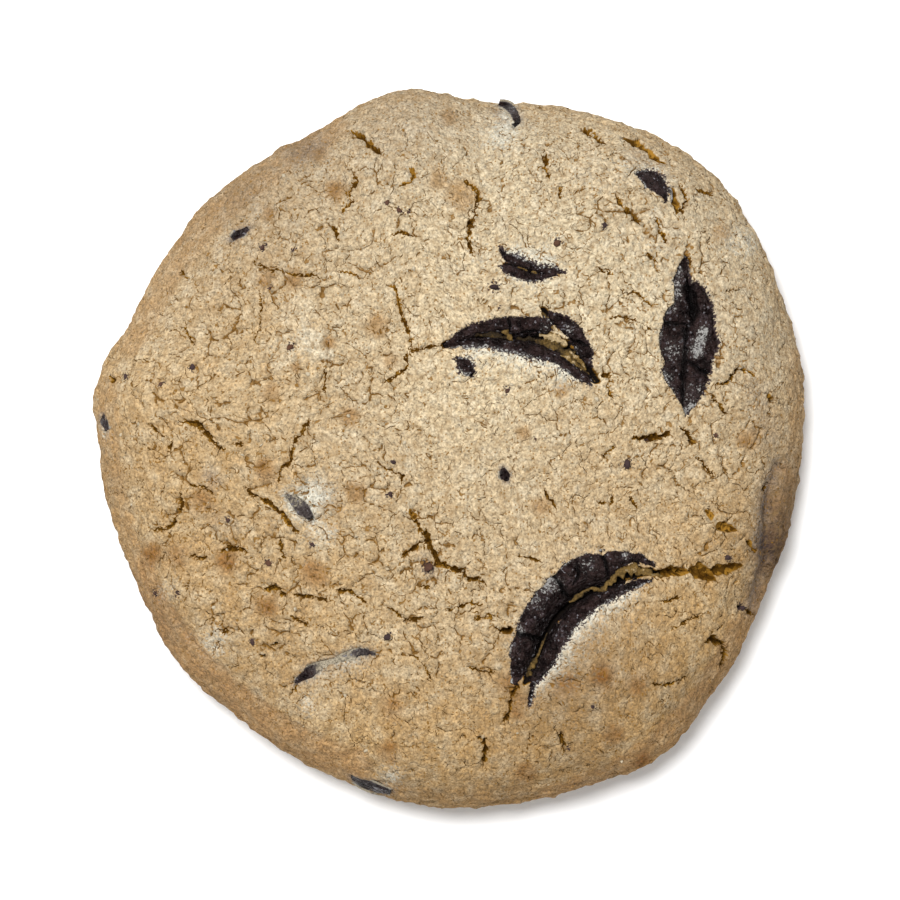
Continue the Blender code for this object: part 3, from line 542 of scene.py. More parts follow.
crust = {
    "plates": [  # where the net of fine cracks is stronger: x, y, spread, amount
        (-21, -4, 9, 0.5), (-16, 15, 9, 0.2), (-5, -13, 8, 0.5), (14, 22, 9, 0.35), (24, 3, 8, 0.35),
        (3, 1, 9, -0.6), (19, -22, 8, -0.5), (-6, -27, 8, -0.45), (-3, 29, 7, -0.3), (0, 22, 6, -0.2),
    ],
    "plateStart": 0.6,
    "warm": [  # browner: x, y, spread, amount
        (-18.0, -2.0, 5.0, -0.22), (-11.0, -7.0, 5.0, -0.15), (-18.0, -10.0, 4.0, -0.22),
        (-11.0, -23.5, 4.0, -0.1), (-4.0, -24.0, 4.0, -0.2), (-22.0, 11.5, 6.0, -0.2),
        (-11.0, 18.0, 4.0, -0.2), (25.0, -20.0, 6.0, 0.45),
        (16.0, -31.0, 6.0, 0.35), (3.0, -32.0, 5.0, 0.35), (33.0, 3.0, 3.0, 0.4),
        (-30, 0, 8, 0.45), (-18, -2, 5, 0.5), (-18, 11, 4, 0.35), (-25, -10, 7, 0.45),
        (-18, -24, 8, 0.6), (-4, -31, 6, 0.6), (10, -24, 6, 0.35), (17, -24, 5, 0.2), (30, -9, 5, 0.6),
        (24, -18, 6, 0.25), (17, -3, 5, 0.3), (17, 26, 6, 0.2), (-22, 19, 7, 0.3), (-11, -9, 4, 0.4),
        (8, -31, 7, 0.5), (20, -30, 8, 0.4), (18, 19, 11, -0.55), (3, 28, 8, -0.35), (24, -22, 6, 0.5),
        (12, -31, 6, 0.5), (-6, -31, 7, 0.6), (25, -27, 6, 0.4), (31, -10, 4, 0.4), (17, -33, 5, 0.3),
        (-23, -16, 7, 0.35), (-10, -16, 7, 0.2), (-31, 4, 6, 0.25), (4, 6, 6, -0.2),
    ],
    "shadeAndTone": [  # darker, or lighter where the amount is negative; painted shade at the rim's edge and the right fold: x, y, spread, amount
        (32.0, -6.0, 0.8, 0.6), (31.8, -9.0, 0.8, 0.7), (31.4, -12.0, 0.8, 0.5), (-28.6, -17.8, 2.0, 0.7),
        (-15.0, 30.5, 2.0, 0.9), (-21.0, 26.0, 2.0, 0.5), (-11.0, -30.5, 3.0, -0.4), (-21.0, 11.5, 5.0, -0.12),
        (-15.0, -3.0, 6.0, 0.2), (15.0, -32.5, 3.0, 0.6), (30.0, 21.0, 1.5, -0.3),
        (25.3, -25.0, 2.5, 0.6), (-25.9, -21.8, 1.6, -0.5),
        (-4, 33, 5, 0.8), (8, 33, 7, 0.4), (-18, 26, 7, 0.6), (-22, 19, 6, 0.3), (24, 26, 5, 0.35),
        (31, 11, 4, 0.4), (30, -9, 3, 0.5), (10, -24, 5, 0.8), (17, -23, 5, 0.6), (-18, -24, 5, 0.3),
        (3, 7, 5, -0.5), (3, 25, 5, -0.15), (33.5, -1, 2, 0.7), (33, -8, 2, 0.6), (31, -15, 2, 0.4),
        (-4, -34.5, 4, 0.5), (5, -35, 3, 0.5), (-14, -31.5, 3, 0.4), (-25, -24, 3, 0.5),
        (-30.5, -15, 2.5, 0.4), (-34, -2, 2, 0.4), (33.7, -7.5, 1.7, 1.5), (33.2, -11, 1.5, 2.1),
        (34.3, -4, 1.3, 1.2), (31.6, -5, 0.9, 0.9), (31.2, -10, 0.9, 0.9), (30.6, -14, 0.9, 0.8),
        (-7, -34, 4, 0.3), (26, -24, 3, 0.2), (17, 19, 12, -0.28), (3, 27, 8, -0.25), (-12, 8, 9, -0.15),
        (17, -24, 6, 0.3), (-11, 18, 4, -0.15), (17, 10, 5, -0.15), (24, -22, 5, -0.3),
        (-10, -30, 4, -0.3), (18, -30, 4, -0.5), (3, -10, 6, -0.15),
    ],
    "spots": [  # brown spots: x, y, radius, strength
        (1.3, 25.6, 1.5, 1.0), (-1.1, 27.0, 0.9, 0.6), (-11.4, 26.0, 1.0, 0.8), (-18.3, 17.2, 0.9, 0.6),
        (-15.5, 17.2, 0.9, 0.6), (-12.0, 10.8, 0.6, 1.0), (-15.4, 8.2, 0.5, 0.6),
        (-18.0, 23.6, 0.7, 0.5), (-13.0, 29.5, 0.8, 0.5), (-7.1, 12.5, 1.1, 0.6), (0.0, 33.4, 0.8, 0.6),
        (-9.8, 3.3, 0.9, 0.7), (-9.3, -4.2, 1.0, 0.9), (-18.2, -2.2, 1.1, 0.7), (-17.8, 5.6, 0.9, 0.5),
        (-24.8, -5.1, 1.2, 0.7), (-22.3, -11.0, 1.2, 0.7), (-13.5, -12.4, 1.3, 0.9),
        (-18.2, -15.4, 1.2, 0.7), (-29.9, -10.4, 1.2, 0.8), (-27.3, -10.6, 1.1, 0.7),
        (11.2, 6.0, 0.8, 0.6), (9.3, -5.6, 0.8, 0.5), (-5.9, 8.9, 0.8, 0.5), (7.5, 1.7, 0.7, 0.5),
        (30.0, 1.2, 1.1, 0.6), (27.3, 21.8, 0.9, 0.4), (-5.7, -25.8, 1.1, 0.4), (-6.1, -30.3, 1.0, 0.5),
        (15.4, -22.6, 1.2, 0.9), (18.8, -23.5, 1.0, 0.6), (7.7, -32.4, 1.0, 0.5),
        (16.5, -28.5, 1.0, 0.6), (19.5, -31.5, 1.0, 0.6), (6.0, -23.4, 1.0, 0.9), (7.1, -24.9, 0.9, 1.0),
        (6.8, -26.0, 0.8, 0.9), (11.6, -23.5, 1.2, 0.6),
    ],
    "flecks": [  # flecks of chocolate: x, y, radius
        (-18.7, 20.3, 0.3), (-15.6, 20.1, 0.2), (-17.9, 16.2, 0.15), (-15.9, 10.3, 0.28),
        (-6.2, 24.8, 0.2), (-5.0, 24.0, 0.22), (-4.1, 23.8, 0.18), (15.5, 22.5, 0.22),
        (10.8, 20.7, 0.35), (5.8, 5.9, 0.28), (8.6, 1.1, 0.15), (-5.9, -4.4, 0.28), (-5.6, -1.2, 0.25),
        (-2.1, -11.7, 0.5), (26.7, 1.5, 0.25), (27.9, -10.8, 0.3), (-22.1, -7.0, 0.2),
        (-28.9, 6.6, 0.25), (-25.7, 8.3, 0.3), (-18.1, -11.3, 0.25), (-13.7, -9.4, 0.2),
        (-27.2, -14.4, 0.2), (-29.6, -14.4, 0.2), (-19.7, -19.2, 0.3), (-6.2, -18.7, 0.35),
        (14.4, -25.7, 0.2), (29.4, -15.8, 0.4), (4.5, 16.3, 0.45), (17.8, -1.4, 0.5), (-32.5, 7.4, 0.3),
        (19.8, 1.0, 0.15), (5.0, 14.2, 0.12), (-27.0, -2.0, 0.12), (12.0, -30.0, 0.15),
    ],
    "veils": [  # chocolate that shows greyly through the crust, and painted shade along the right fold: strength, half the width, route
        (0.4, 0.8, [(-15.0, 29.5), (-13.2, 30.6)]),
        (0.4, 1.3, [(-13.6, -4.4), (-12.6, -4.8)]), (0.55, 0.7, [(-23.9, -2.5), (-23.5, -3.2)]),
        (0.3, 1.0, [(-23.4, -7.0), (-22.2, -7.4)]), (0.35, 1.0, [(18.6, 30.0), (20.6, 28.6)]),
        (0.55, 0.6, [(4.9, 33.9), (5.6, 33.2), (6.2, 32.8)]),
        (0.45, 0.8, [(-13.6, -22.0), (-11.0, -21.2), (-8.6, -20.6)]),
        (0.7, 0.6, [
            (32.8, -1.5), (31.9, -4.0), (31.3, -8.0), (31.3, -11.0), (30.8, -13.5), (30.3, -16.0),
        ]),
        (0.45, 0.6, [(-2.6, -10.8), (-1.6, -12.4)]), (0.3, 1.2, [(30.6, 6.0), (32.0, 1.5)]),
    ],
    "rims": [  # where the smoother, browner side wall shows, darkened further as painted shade where it turns from the light, most at the right fold: strength, half the width, route
        (0.8, 1.3, [(10.0, -35.2), (16.0, -33.0), (21.5, -29.3), (26.0, -24.2), (29.4, -18.0)]),
        (0.4, 1.2, [(35.2, 9.0), (35.4, 4.0), (34.8, -1.0)]),
        (0.9, 1.7, [
            (-31.2, -12.6), (-29.2, -16.4), (-26.2, -20.6), (-22.5, -24.4), (-18.0, -27.6),
            (-13.0, -30.4), (-9.5, -31.6),
        ]),
        (0.45, 1.5, [(-34.6, 6.0), (-34.4, -1.0), (-33.6, -6.0), (-32.4, -10.6), (-31.0, -13.2)]),
        (0.45, 1.6, [
            (-32.0, 11.0), (-28.6, 17.6), (-25.0, 22.6), (-20.6, 26.4), (-15.6, 30.0), (-11.6, 32.6),
        ]),
        (0.8, 1.3, [(33.6, -2.5), (33.2, -6.0), (32.9, -10.0), (32.2, -13.0), (31.2, -16.0)]),
        (0.35, 1.3, [(-8.0, -34.6), (-2.0, -35.4), (4.0, -35.6), (11.0, -34.6)]),
    ],
    "floury": [  # whiter: x, y, spread, amount
        (-14.8, -5.5, 2.0, 0.35), (-12.9, -4.3, 1.1, 0.6), (-12.6, -8.6, 1.1, 0.6), (-12.6, -23.2, 1.2, 0.2),
        (-11.2, -21.9, 0.9, 0.25), (-14.2, -25.4, 0.9, 0.5), (-9.3, -21.3, 1.0, 0.2), (5.8, 32.2, 1.2, 0.5),
        (4.6, 31.0, 1.5, 0.4), (29.6, 21.0, 1.8, 0.6), (-23.4, -19.0, 1.4, 0.6), (-15.0, 11.0, 2.0, 0.3),
        (-5.8, -32.8, 1.0, 0.6), (-34.6, 1.7, 0.5, 0.6), (18.0, 28.5, 1.2, 0.4), (3.0, 19.5, 1.2, 0.35),
        (-28.0, -14.0, 1.0, 0.4), (20.5, 20.5, 1.5, 0.3), (14.0, 27.0, 2.0, 0.25),
    ],
    "flakes": [  # pale raised flakes: x, y, radius, strength
        (-13.8, 10.8, 1.5, 1.0), (-12.3, 9.7, 0.8, 1.0), (-17.0, 9.8, 1.7, 0.6), (-15.2, 13.6, 1.8, 0.4),
        (-1.0, -29.3, 0.5, 0.7), (-1.9, -28.9, 0.4, 0.7), (4.7, -25.9, 0.5, 0.8),
        (3.9, -25.4, 0.35, 0.7), (-12.6, -24.6, 2.2, 0.4), (-14.1, -27.0, 1.3, 0.4),
        (4.9, -21.6, 0.4, 0.9), (20.6, 23.6, 0.7, 0.5), (-12.9, -3.2, 1.0, 0.5), (-12.2, -4.4, 0.8, 0.5),
        (-13.2, -9.2, 0.8, 0.45), (-23.5, -20.0, 0.9, 0.3), (-28.6, -14.6, 0.7, 0.3),
        (-5.6, -32.4, 1.0, 0.5), (-6.6, -32.9, 0.6, 0.5),
    ],
}


# Node trees


def addNode(tree, kind, settings=None, inputs=None):
    node = tree.nodes.new(kind)
    for name, value in (settings or {}).items():
        setattr(node, name, value)
    for key, value in (inputs or {}).items():
        if isinstance(value, bpy.types.NodeSocket):
            tree.links.new(value, node.inputs[key])
        else:
            node.inputs[key].default_value = value
    return node


def sumUp(tree, operation, first, second=0.0, third=0.0, clamp=False):
    settings = {"operation": operation, "use_clamp": clamp}
    return addNode(tree, "ShaderNodeMath", settings, {0: first, 1: second, 2: third}).outputs[0]


def vectorSum(tree, operation, first, second):
    key = 3 if operation == "SCALE" else 1
    inputs = {0: first, key: second}
    return addNode(tree, "ShaderNodeVectorMath", {"operation": operation}, inputs).outputs[0]


def remap(tree, value, fromLow, fromHigh, toLow=0.0, toHigh=1.0):
    inputs = {"Value": value, "From Min": fromLow, "From Max": fromHigh, "To Min": toLow, "To Max": toHigh}
    return addNode(tree, "ShaderNodeMapRange", {"interpolation_type": "SMOOTHSTEP"}, inputs).outputs[0]


def noiseAt(tree, point, width, detail=2.0, offset=0.0, roughness=0.5, flat="2D"):
    if offset:
        point = vectorSum(tree, "ADD", point, (offset, -offset, 0.7 * offset))
    inputs = {"Vector": point, "Scale": 1 / (width * mm), "Detail": detail, "Roughness": roughness}
    return addNode(tree, "ShaderNodeTexNoise", {"noise_dimensions": flat}, inputs).outputs


def readField(tree, name, kind="FLOAT"):  # a stored value, in a modifier's tree or in a material's
    if tree.type == "GEOMETRY":
        node = addNode(tree, "GeometryNodeInputNamedAttribute", {"data_type": kind}, {"Name": name})
        return node.outputs[0]
    output = "Vector" if kind == "FLOAT_VECTOR" else "Fac"
    return addNode(tree, "ShaderNodeAttribute", {"attribute_name": name}).outputs[output]


def crackLines(tree, point, cell, width, low, high, offset=0.0):
    # a net of cracks round plates of a size, jagged, and thinning out to nothing: 1 in the cracks;
    # then the distance to the plate's edge as a share of its size, and a value for each plate
    bend = noiseAt(tree, point, cell * 1.1, 1.0, offset)["Color"]
    bend = vectorSum(tree, "SUBTRACT", bend, (0.5, 0.5, 0.5))
    inputs = {"Vector": point, "Scale": 1 / (0.42 * mm)}
    crumb = addNode(tree, "ShaderNodeTexVoronoi", {"voronoi_dimensions": "2D"}, inputs)
    toward = vectorSum(tree, "SUBTRACT", crumb.outputs["Position"], point)  # lines run round the crumbs
    moved = vectorSum(tree, "ADD", point, vectorSum(tree, "SCALE", bend, cell * mm * 0.9))
    moved = vectorSum(tree, "ADD", moved, vectorSum(tree, "SCALE", toward, 0.5))
    inputs = {"Vector": moved, "Scale": 1 / (cell * mm)}
    settings = {"feature": "DISTANCE_TO_EDGE", "voronoi_dimensions": "2D"}
    edge = addNode(tree, "ShaderNodeTexVoronoi", settings, inputs).outputs["Distance"]
    _, plate = granules(tree, moved, cell)
    share = width / cell if isinstance(width, float) else sumUp(tree, "DIVIDE", width, cell)
    # some plates cast the line, others hardly show one
    share = sumUp(tree, "MULTIPLY", remap(tree, plate, 0.35, 0.6, 0.15, 1.0), share)
    uneven = noiseAt(tree, point, cell * 1.1, 2.0, offset + 0.31)["Fac"]
    breadth = remap(tree, uneven, low, high, 0.0001, share)
    return sumUp(tree, "SUBTRACT", 1.0, sumUp(tree, "DIVIDE", edge, breadth), clamp=True), edge, plate


def doughCracks(tree, point, plates):  # the same nets shape the crust and colour it
    wide = sumUp(tree, "MULTIPLY_ADD", plates, 0.16, 0.01)
    thin = sumUp(tree, "MULTIPLY_ADD", plates, 0.07, 0.03)
    coarse = crackLines(tree, point, 2.3, wide, 0.4, 0.58)
    return coarse, crackLines(tree, point, 1.1, thin, 0.45, 0.6, 0.013)


def wallLayers(tree):  # long shallow hollows that run round the side wall: 1 in them
    streaks = noiseAt(tree, readField(tree, "round", "FLOAT_VECTOR"), 0.9, 3.0, 0.09, 0.6, "3D")["Fac"]
    return remap(tree, streaks, 0.48, 0.68)


def openCracks(tree, point):  # 0 outside the long cracks, 1 along their middle
    jag = sumUp(tree, "SUBTRACT", noiseAt(tree, point, 0.4, 2.0, 0.041, 0.6)["Fac"], 0.5)
    uneven = remap(tree, noiseAt(tree, point, 0.9, 1.0, 0.043)["Fac"], 0.3, 0.65, 0.6, 1.7)
    gap = sumUp(tree, "ABSOLUTE", sumUp(tree, "MULTIPLY_ADD", jag, 0.75, readField(tree, "gap")))
    width = sumUp(tree, "MAXIMUM", sumUp(tree, "MULTIPLY", readField(tree, "gapWidth"), uneven), 0.0001)
    return sumUp(tree, "SUBTRACT", 1.0, sumUp(tree, "DIVIDE", gap, width), clamp=True)


def evaluatedMesh(obj):
    depsgraph = bpy.context.evaluated_depsgraph_get()
    return bpy.data.meshes.new_from_object(obj.evaluated_get(depsgraph), depsgraph=depsgraph)


def addObject(name, mesh, material=None):
    obj = bpy.data.objects.new(name, mesh)
    bpy.context.scene.collection.objects.link(obj)
    if material:
        mesh.materials.clear()
        mesh.materials.append(material)
    return obj


def storeValues(mesh, name, values, kind="FLOAT"):
    slot = {"FLOAT": "value", "FLOAT_VECTOR": "vector", "FLOAT_COLOR": "color"}[kind]
    attribute = mesh.attributes.new(name, kind, "POINT")
    attribute.data.foreach_set(slot, np.ascontiguousarray(values, np.float32).ravel())


def setPoints(mesh, points):  # points in millimetres from the dough's middle
    mesh.vertices.foreach_set("co", ((points + doughMiddle) * mm).astype(np.float32).ravel())


def readPoints(mesh):
    values = np.empty(3 * len(mesh.vertices), np.float32)
    mesh.vertices.foreach_get("co", values)
    return values.reshape(-1, 3).astype(float)


# The dough


def startDough():  # a fine ball wrapped onto the smooth shape
    ball = bmesh.new()
    bmesh.ops.create_icosphere(ball, subdivisions=dough["subdivisions"], radius=1.0)
    mesh = bpy.data.meshes.new("dough_crust")
    ball.to_mesh(mesh)
    ball.free()
    points = readPoints(mesh)
    angle = np.arctan2(points[:, 1], points[:, 0])
    down = np.arccos(np.clip(points[:, 2], -1, 1)) / math.pi
    run = np.clip(down / dough["wallShare"], 0, 1) * profileRun[-1]
    across = np.interp(run, profileRun, profileLine[:, 0])
    height = np.interp(run, profileRun, profileLine[:, 1])
    onBase = down > dough["wallShare"]
    across[onBase] = dough["profile"][-1][0] * (1 - down[onBase]) / (1 - dough["wallShare"])
    height[onBase] = 0.0
    base = doughPoints(angle, across, height)
    # the skin rolled out flat from the top's middle, and back in under the base
    rolled = np.where(onBase, (1 - down) / (1 - dough["wallShare"]) * profileRun[-1], run)
    sheet = np.column_stack([np.cos(angle) * rolled, np.sin(angle) * rolled, np.zeros(len(angle))]) * mm
    storeValues(mesh, "sheet", sheet, "FLOAT_VECTOR")
    tight = 0.2 * doughRadius  # squeezed round the rim, so that a pattern comes out long
    turned = np.column_stack([np.cos(angle) * tight, np.sin(angle) * tight, rolled]) * mm
    storeValues(mesh, "round", turned, "FLOAT_VECTOR")
    setPoints(mesh, base)
    mesh.update()
    normals = np.empty(3 * len(mesh.vertices), np.float32)
    mesh.vertex_normals.foreach_get("vector", normals)
    return mesh, base, normals.reshape(-1, 3).astype(float)


def wobble(plan, amount, size, seed):  # moves plan about, so that straight routes come out ragged
    return plan + amount * np.column_stack([planNoise(plan, size, seed), planNoise(plan, size, seed + 1)])


def carve(plan, facingUp, routes, squareness=1.0):  # depth of open splits and how open they are, 0 to 1
    depth = np.zeros(len(plan))
    mark = np.zeros(len(plan))
    for halfWidth, deep, route in routes:
        near = nearby(plan, route, halfWidth + 0.4)
        near = near[facingUp[near]]
        distance, share, _ = nearRoute(plan[near], route)
        taper = np.clip(4 * np.minimum(share, 1 - share) + 0.15, 0, 1) ** 0.6
        uneven = 1 + 0.45 * planNoise(plan[near], 0.9, 31)
        part = np.clip(1 - distance / (halfWidth * taper * uneven), 0, 1)
        depth[near] = np.maximum(depth[near], deep * taper * part ** (0.6 * squareness))
        mark[near] = np.maximum(mark[near], part**0.5)
    return depth, mark


def crackFields(plan, facingUp):
    # for the nearest crack: the distance to it with its side, half its width there and its depth
    gap, lead = np.full(len(plan), 9.0), np.full(len(plan), 9.0)
    width, depth = np.zeros(len(plan)), np.zeros(len(plan))
    for halfWidth, deep, route in cracks:
        near = nearby(plan, route, 1.0)
        near = near[facingUp[near]]
        distance, share, side = nearRoute(plan[near], route)
        taper = np.clip(5 * np.minimum(share, 1 - share), 0, 1) ** 0.5
        closer = distance - halfWidth * taper < lead[near]
        near, distance, side, taper = near[closer], distance[closer], side[closer], taper[closer]
        lead[near] = distance - halfWidth * taper
        gap[near] = side * distance
        width[near] = 0.85 * halfWidth * taper * smoothStep(0.95, 0.45, distance)
        depth[near] = min(deep, 3.6 * halfWidth) * taper
    return {"gap": gap, "gapWidth": width, "gapDepth": depth}


def setPockets(plan, facingUp):
    # hollows for the chocolate, the flour round them, the stain at their edge and the veil of a film
    depth = np.zeros(len(plan))
    flour = np.zeros(len(plan))
    stain = np.zeros(len(plan))
    veil = np.zeros(len(plan))
    for piece in chocolate.values():
        route = smoothCurve(piece["route"], np.linspace(0, 1, 6 * len(piece["route"])))
        near = nearby(plan, route, 4.5)
        near = near[facingUp[near]]
        distance, share, side = nearRoute(plan[near], route)
        halfWidth = np.interp(share, np.linspace(0, 1, len(route)), route[:, 2])
        inside = halfWidth - distance
        halo = np.where(side > 0, piece["left"], piece["right"])
        halo = halo * (0.3 + 0.7 * smoothStep(0.0, 0.18, np.minimum(share, 1 - share)))
        band = 0.08 + 0.7 * halo
        deep = piece["sink"] + 0.8 * piece["depth"]
        depth[near] = np.maximum(depth[near], deep * smoothStep(-0.05, 0.5 + 0.3 * halo, inside))
        reach = 0.3 + 1.2 * halo
        flour[near] = np.maximum(flour[near], halo * np.exp(-np.clip(-inside, 0, None) / reach))
        if "film" in piece:
            veil[near] = np.maximum(veil[near], smoothStep(-0.45, 0.3, inside))
        else:
            stain[near] = np.maximum(stain[near], smoothStep(-band, band, inside))
    return depth, flour, stain, veil


def bandShare(plan, bands, crisp):  # up to each band's strength along its route, with a hard or a soft edge
    share = np.zeros(len(plan))
    for strength, halfWidth, route in bands:
        near = nearby(plan, route, 2.5 * halfWidth)
        away = nearRoute(plan[near], route)[0] / halfWidth
        part = smoothStep(1.25, 0.75, away) if crisp else np.exp(-0.7 * away**2)
        share[near] = np.maximum(share[near], strength * part)
    return share


def flakeShare(plan, soft):  # up to 1 on the pale flakes, 0 off them
    share = np.zeros(len(plan))
    rough = 0.5 * planNoise(plan, 1.3, 55) + 0.3 * planNoise(plan, 0.5, 57)
    for x, y, radius, strength in crust["flakes"]:
        away = np.hypot(plan[:, 0] - x, plan[:, 1] - y) / radius + rough
        share = np.maximum(share, strength * smoothStep(1 + soft, 1 - soft, away))
    return share


def shapeDough(base, out):
    facingUp = base[:, 2] > 5.5
    ragged = wobble(wobble(base[:, :2], 0.2, 1.6, 41), 0.15, 0.6, 43)
    splitDepth, splitMark = carve(ragged, facingUp, splits, 0.7)
    pitDepth, pitMark = carve(wobble(ragged, 0.15, 0.45, 47), facingUp, pits, 0.5)
    foldDepth, _ = carve(ragged, facingUp, folds, 1.5)
    pocketDepth, flour, stain, veil = setPockets(ragged, facingUp)
    down = np.maximum(np.maximum(splitDepth, pocketDepth), pitDepth + foldDepth)
    flake = 0.3 * facingUp * flakeShare(base[:, :2], 0.2)
    points = base + out * (relief(base) + flake - down)[:, None]
    points[:, 2] = np.maximum(points[:, 2], 0.0)
    marks = crackFields(wobble(base[:, :2], 0.2, 1.2, 45), facingUp)
    veil = np.maximum(veil, facingUp * bandShare(ragged, crust["veils"], False))
    flour = flour + facingUp * np.clip(blobSum(base[:, :2], crust["floury"]), 0, 1)
    marks.update({"split": splitMark, "pit": pitMark, "flour": flour, "stain": stain, "veil": veil})
    return points, marks


def markPlaces(base, marks):  # spots, flecks and plates, from the lists
    plan = wobble(base[:, :2], 0.25, 1.2, 51)
    spots = np.zeros(len(plan))
    flecks = np.zeros(len(plan))
    up = base[:, 2] > 5.5
    for x, y, radius, strength in crust["spots"]:
        distance = np.hypot(plan[:, 0] - x, plan[:, 1] - y)
        strength = min(strength + 0.35, 1.0)
        spots = np.maximum(spots, up * strength * smoothStep(1.6 * radius, 0.4 * radius, distance))
    for x, y, radius in crust["flecks"]:
        distance = np.hypot(plan[:, 0] - x, plan[:, 1] - y)
        flecks = np.maximum(flecks, 0.62 * up * smoothStep(1.9 * radius + 0.15, 0.4 * radius, distance))
    marks["spot"] = spots
    marks["fleck"] = flecks
    plates = np.clip(crust["plateStart"] + blobSum(base[:, :2], crust["plates"]), 0.05, 1.0)
    above = smoothStep(2.0, 5.0, base[:, 2])  # these tones and painted shades stay off the lower wall and the underside
    marks["rim"] = above * bandShare(plan, crust["rims"], True)
    plates = plates * (0.3 + 0.7 * smoothStep(10.0, 12.8, base[:, 2]))
    marks["plates"] = np.clip(plates * (1 - marks["rim"]), 0.05, 1.0)
    foot = smoothStep(4.5, 0.3, base[:, 2])  # baked browner where it stands on the tray
    warm = above * blobSum(base[:, :2], crust["warm"]) + 0.5 * smoothStep(11.0, 3.0, base[:, 2]) + 0.9 * foot
    marks["warm"] = 1.1 * np.tanh(warm / 1.1)
    # painted shade and tone from the list, and the foot darker where it baked on the tray
    marks["shadeAndTone"] = above * blobSum(base[:, :2], crust["shadeAndTone"]) + 0.5 * foot
    marks["pale"] = up * flakeShare(base[:, :2], 0.3)
    marks["crumbly"] = up * smoothStep(0.3, 0.05, marks["stain"]) * (0.2 + 0.8 * marks["plates"])
    marks["wall"] = smoothStep(11.0, 3.0, base[:, 2])
    return marks


crustRelief = {"Coarse depth": 0.3 * mm, "Fine depth": 0.06 * mm, "Crown": 0.26 * mm, "Grain": 0.125 * mm}
crustRelief["Layers"] = 0.3 * mm


def startTree(name, sizes):  # a modifier's tree with a named input for each size
    tree = bpy.data.node_groups.new(name, "GeometryNodeTree")
    tree.interface.new_socket("Geometry", in_out="INPUT", socket_type="NodeSocketGeometry")
    for size, value in sizes.items():
        kind = "NodeSocketInt" if isinstance(value, int) else "NodeSocketFloat"
        tree.interface.new_socket(size, in_out="INPUT", socket_type=kind)
    tree.interface.new_socket("Geometry", in_out="OUTPUT", socket_type="NodeSocketGeometry")
    return tree, addNode(tree, "NodeGroupInput").outputs


def endTree(tree, geometry, material):
    realized = addNode(tree, "GeometryNodeRealizeInstances", {}, {"Geometry": geometry}).outputs[0]
    inputs = {"Geometry": realized, "Material": material}
    dressed = addNode(tree, "GeometryNodeSetMaterial", {}, inputs).outputs[0]
    tree.links.new(dressed, addNode(tree, "NodeGroupOutput").inputs[0])
    return tree


def crustTree(material):  # presses the cracks and the grain into the dough, along its outward direction
    tree, start = startTree("crust relief", crustRelief)
    rest, out = [readField(tree, name, "FLOAT_VECTOR") for name in ("sheet", "out")]
    plates = readField(tree, "plates")
    (coarse, coarseEdge, coarsePlate), (fine, fineEdge, finePlate) = doughCracks(tree, rest, plates)
    crown = sumUp(tree, "MULTIPLY", plates, coarsePlate)
    crown = sumUp(tree, "MULTIPLY", remap(tree, coarseEdge, 0.0, 0.25), crown)
    small = sumUp(tree, "MULTIPLY", remap(tree, fineEdge, 0.0, 0.3), finePlate)
    crown = sumUp(tree, "MULTIPLY_ADD", small, 0.3, crown)
    grain = sumUp(tree, "SUBTRACT", noiseAt(tree, rest, 0.8, 3.0, 0.05, 0.65)["Fac"], 0.5)
    height = sumUp(tree, "MULTIPLY", crown, start["Crown"])
    height = sumUp(tree, "SUBTRACT", height, sumUp(tree, "MULTIPLY", coarse, start["Coarse depth"]))
    height = sumUp(tree, "SUBTRACT", height, sumUp(tree, "MULTIPLY", fine, start["Fine depth"]))
    height = sumUp(tree, "MULTIPLY_ADD", grain, start["Grain"], height)
    wall = readField(tree, "wall")
    height = sumUp(tree, "MULTIPLY", height, remap(tree, wall, 0.0, 1.0, 1.0, 0.6))
    layers = sumUp(tree, "MULTIPLY", sumUp(tree, "MULTIPLY", wallLayers(tree), wall), start["Layers"])
    height = sumUp(tree, "SUBTRACT", height, layers)
    opened = sumUp(tree, "POWER", openCracks(tree, rest), 0.6)
    opened = sumUp(tree, "MULTIPLY", opened, readField(tree, "gapDepth"))
    height = sumUp(tree, "MULTIPLY_ADD", opened, -mm, height)
    inputs = {"Geometry": start["Geometry"], "Offset": vectorSum(tree, "SCALE", out, height)}
    return endTree(tree, addNode(tree, "GeometryNodeSetPosition", {}, inputs).outputs[0], material)


def addTree(obj, tree, values):
    modifier = obj.modifiers.new(tree.name, "NODES")
    modifier.node_group = tree
    for socket in tree.interface.items_tree:
        if socket.in_out == "INPUT" and socket.name in values:
            modifier[socket.identifier] = values[socket.name]
    return modifier


def makeDough(material):
    mesh, base, out = startDough()
    print("dough ball", len(base))
    points, marks = shapeDough(base, out)
    marks = markPlaces(base, marks)
    print("dough shaped")
    setPoints(mesh, points)
    storeValues(mesh, "out", out * smoothStep(-0.01, 1.5, base[:, 2])[:, None], "FLOAT_VECTOR")
    for name, values in marks.items():
        storeValues(mesh, name, values)
    source = addObject("dough_source", mesh)
    addTree(source, crustTree(material), crustRelief)
    thin = source.modifiers.new("thin out", "DECIMATE")
    thin.ratio = dough["triangles"] / len(mesh.polygons)
    finished = evaluatedMesh(source)
    bpy.data.objects.remove(source)
    finished.shade_smooth()
    obj = addObject("dough_crust", finished)
    print("dough finished", len(finished.polygons), "triangles")
    return obj


# Materials


def newMaterial(name):
    material = bpy.data.materials.new(name)
    material.use_nodes = True
    return material, material.node_tree, material.node_tree.nodes["Principled BSDF"]


def mixColours(tree, factor, first, second, blend="MIX"):
    settings = {"data_type": "RGBA", "blend_type": blend}
    return addNode(tree, "ShaderNodeMix", settings, {0: factor, 6: first, 7: second}).outputs[2]


def tint(tree, colour, amount, losses):  # takes a share off each channel
    tones = {i: sumUp(tree, "MULTIPLY_ADD", amount, -loss, 1.0) for i, loss in enumerate(losses)}
    tone = addNode(tree, "ShaderNodeCombineColor", {}, tones).outputs[0]
    return mixColours(tree, 1.0, colour, tone, "MULTIPLY")


def grey(tree, value):
    return addNode(tree, "ShaderNodeCombineColor", {}, {0: value, 1: value, 2: value}).outputs[0]


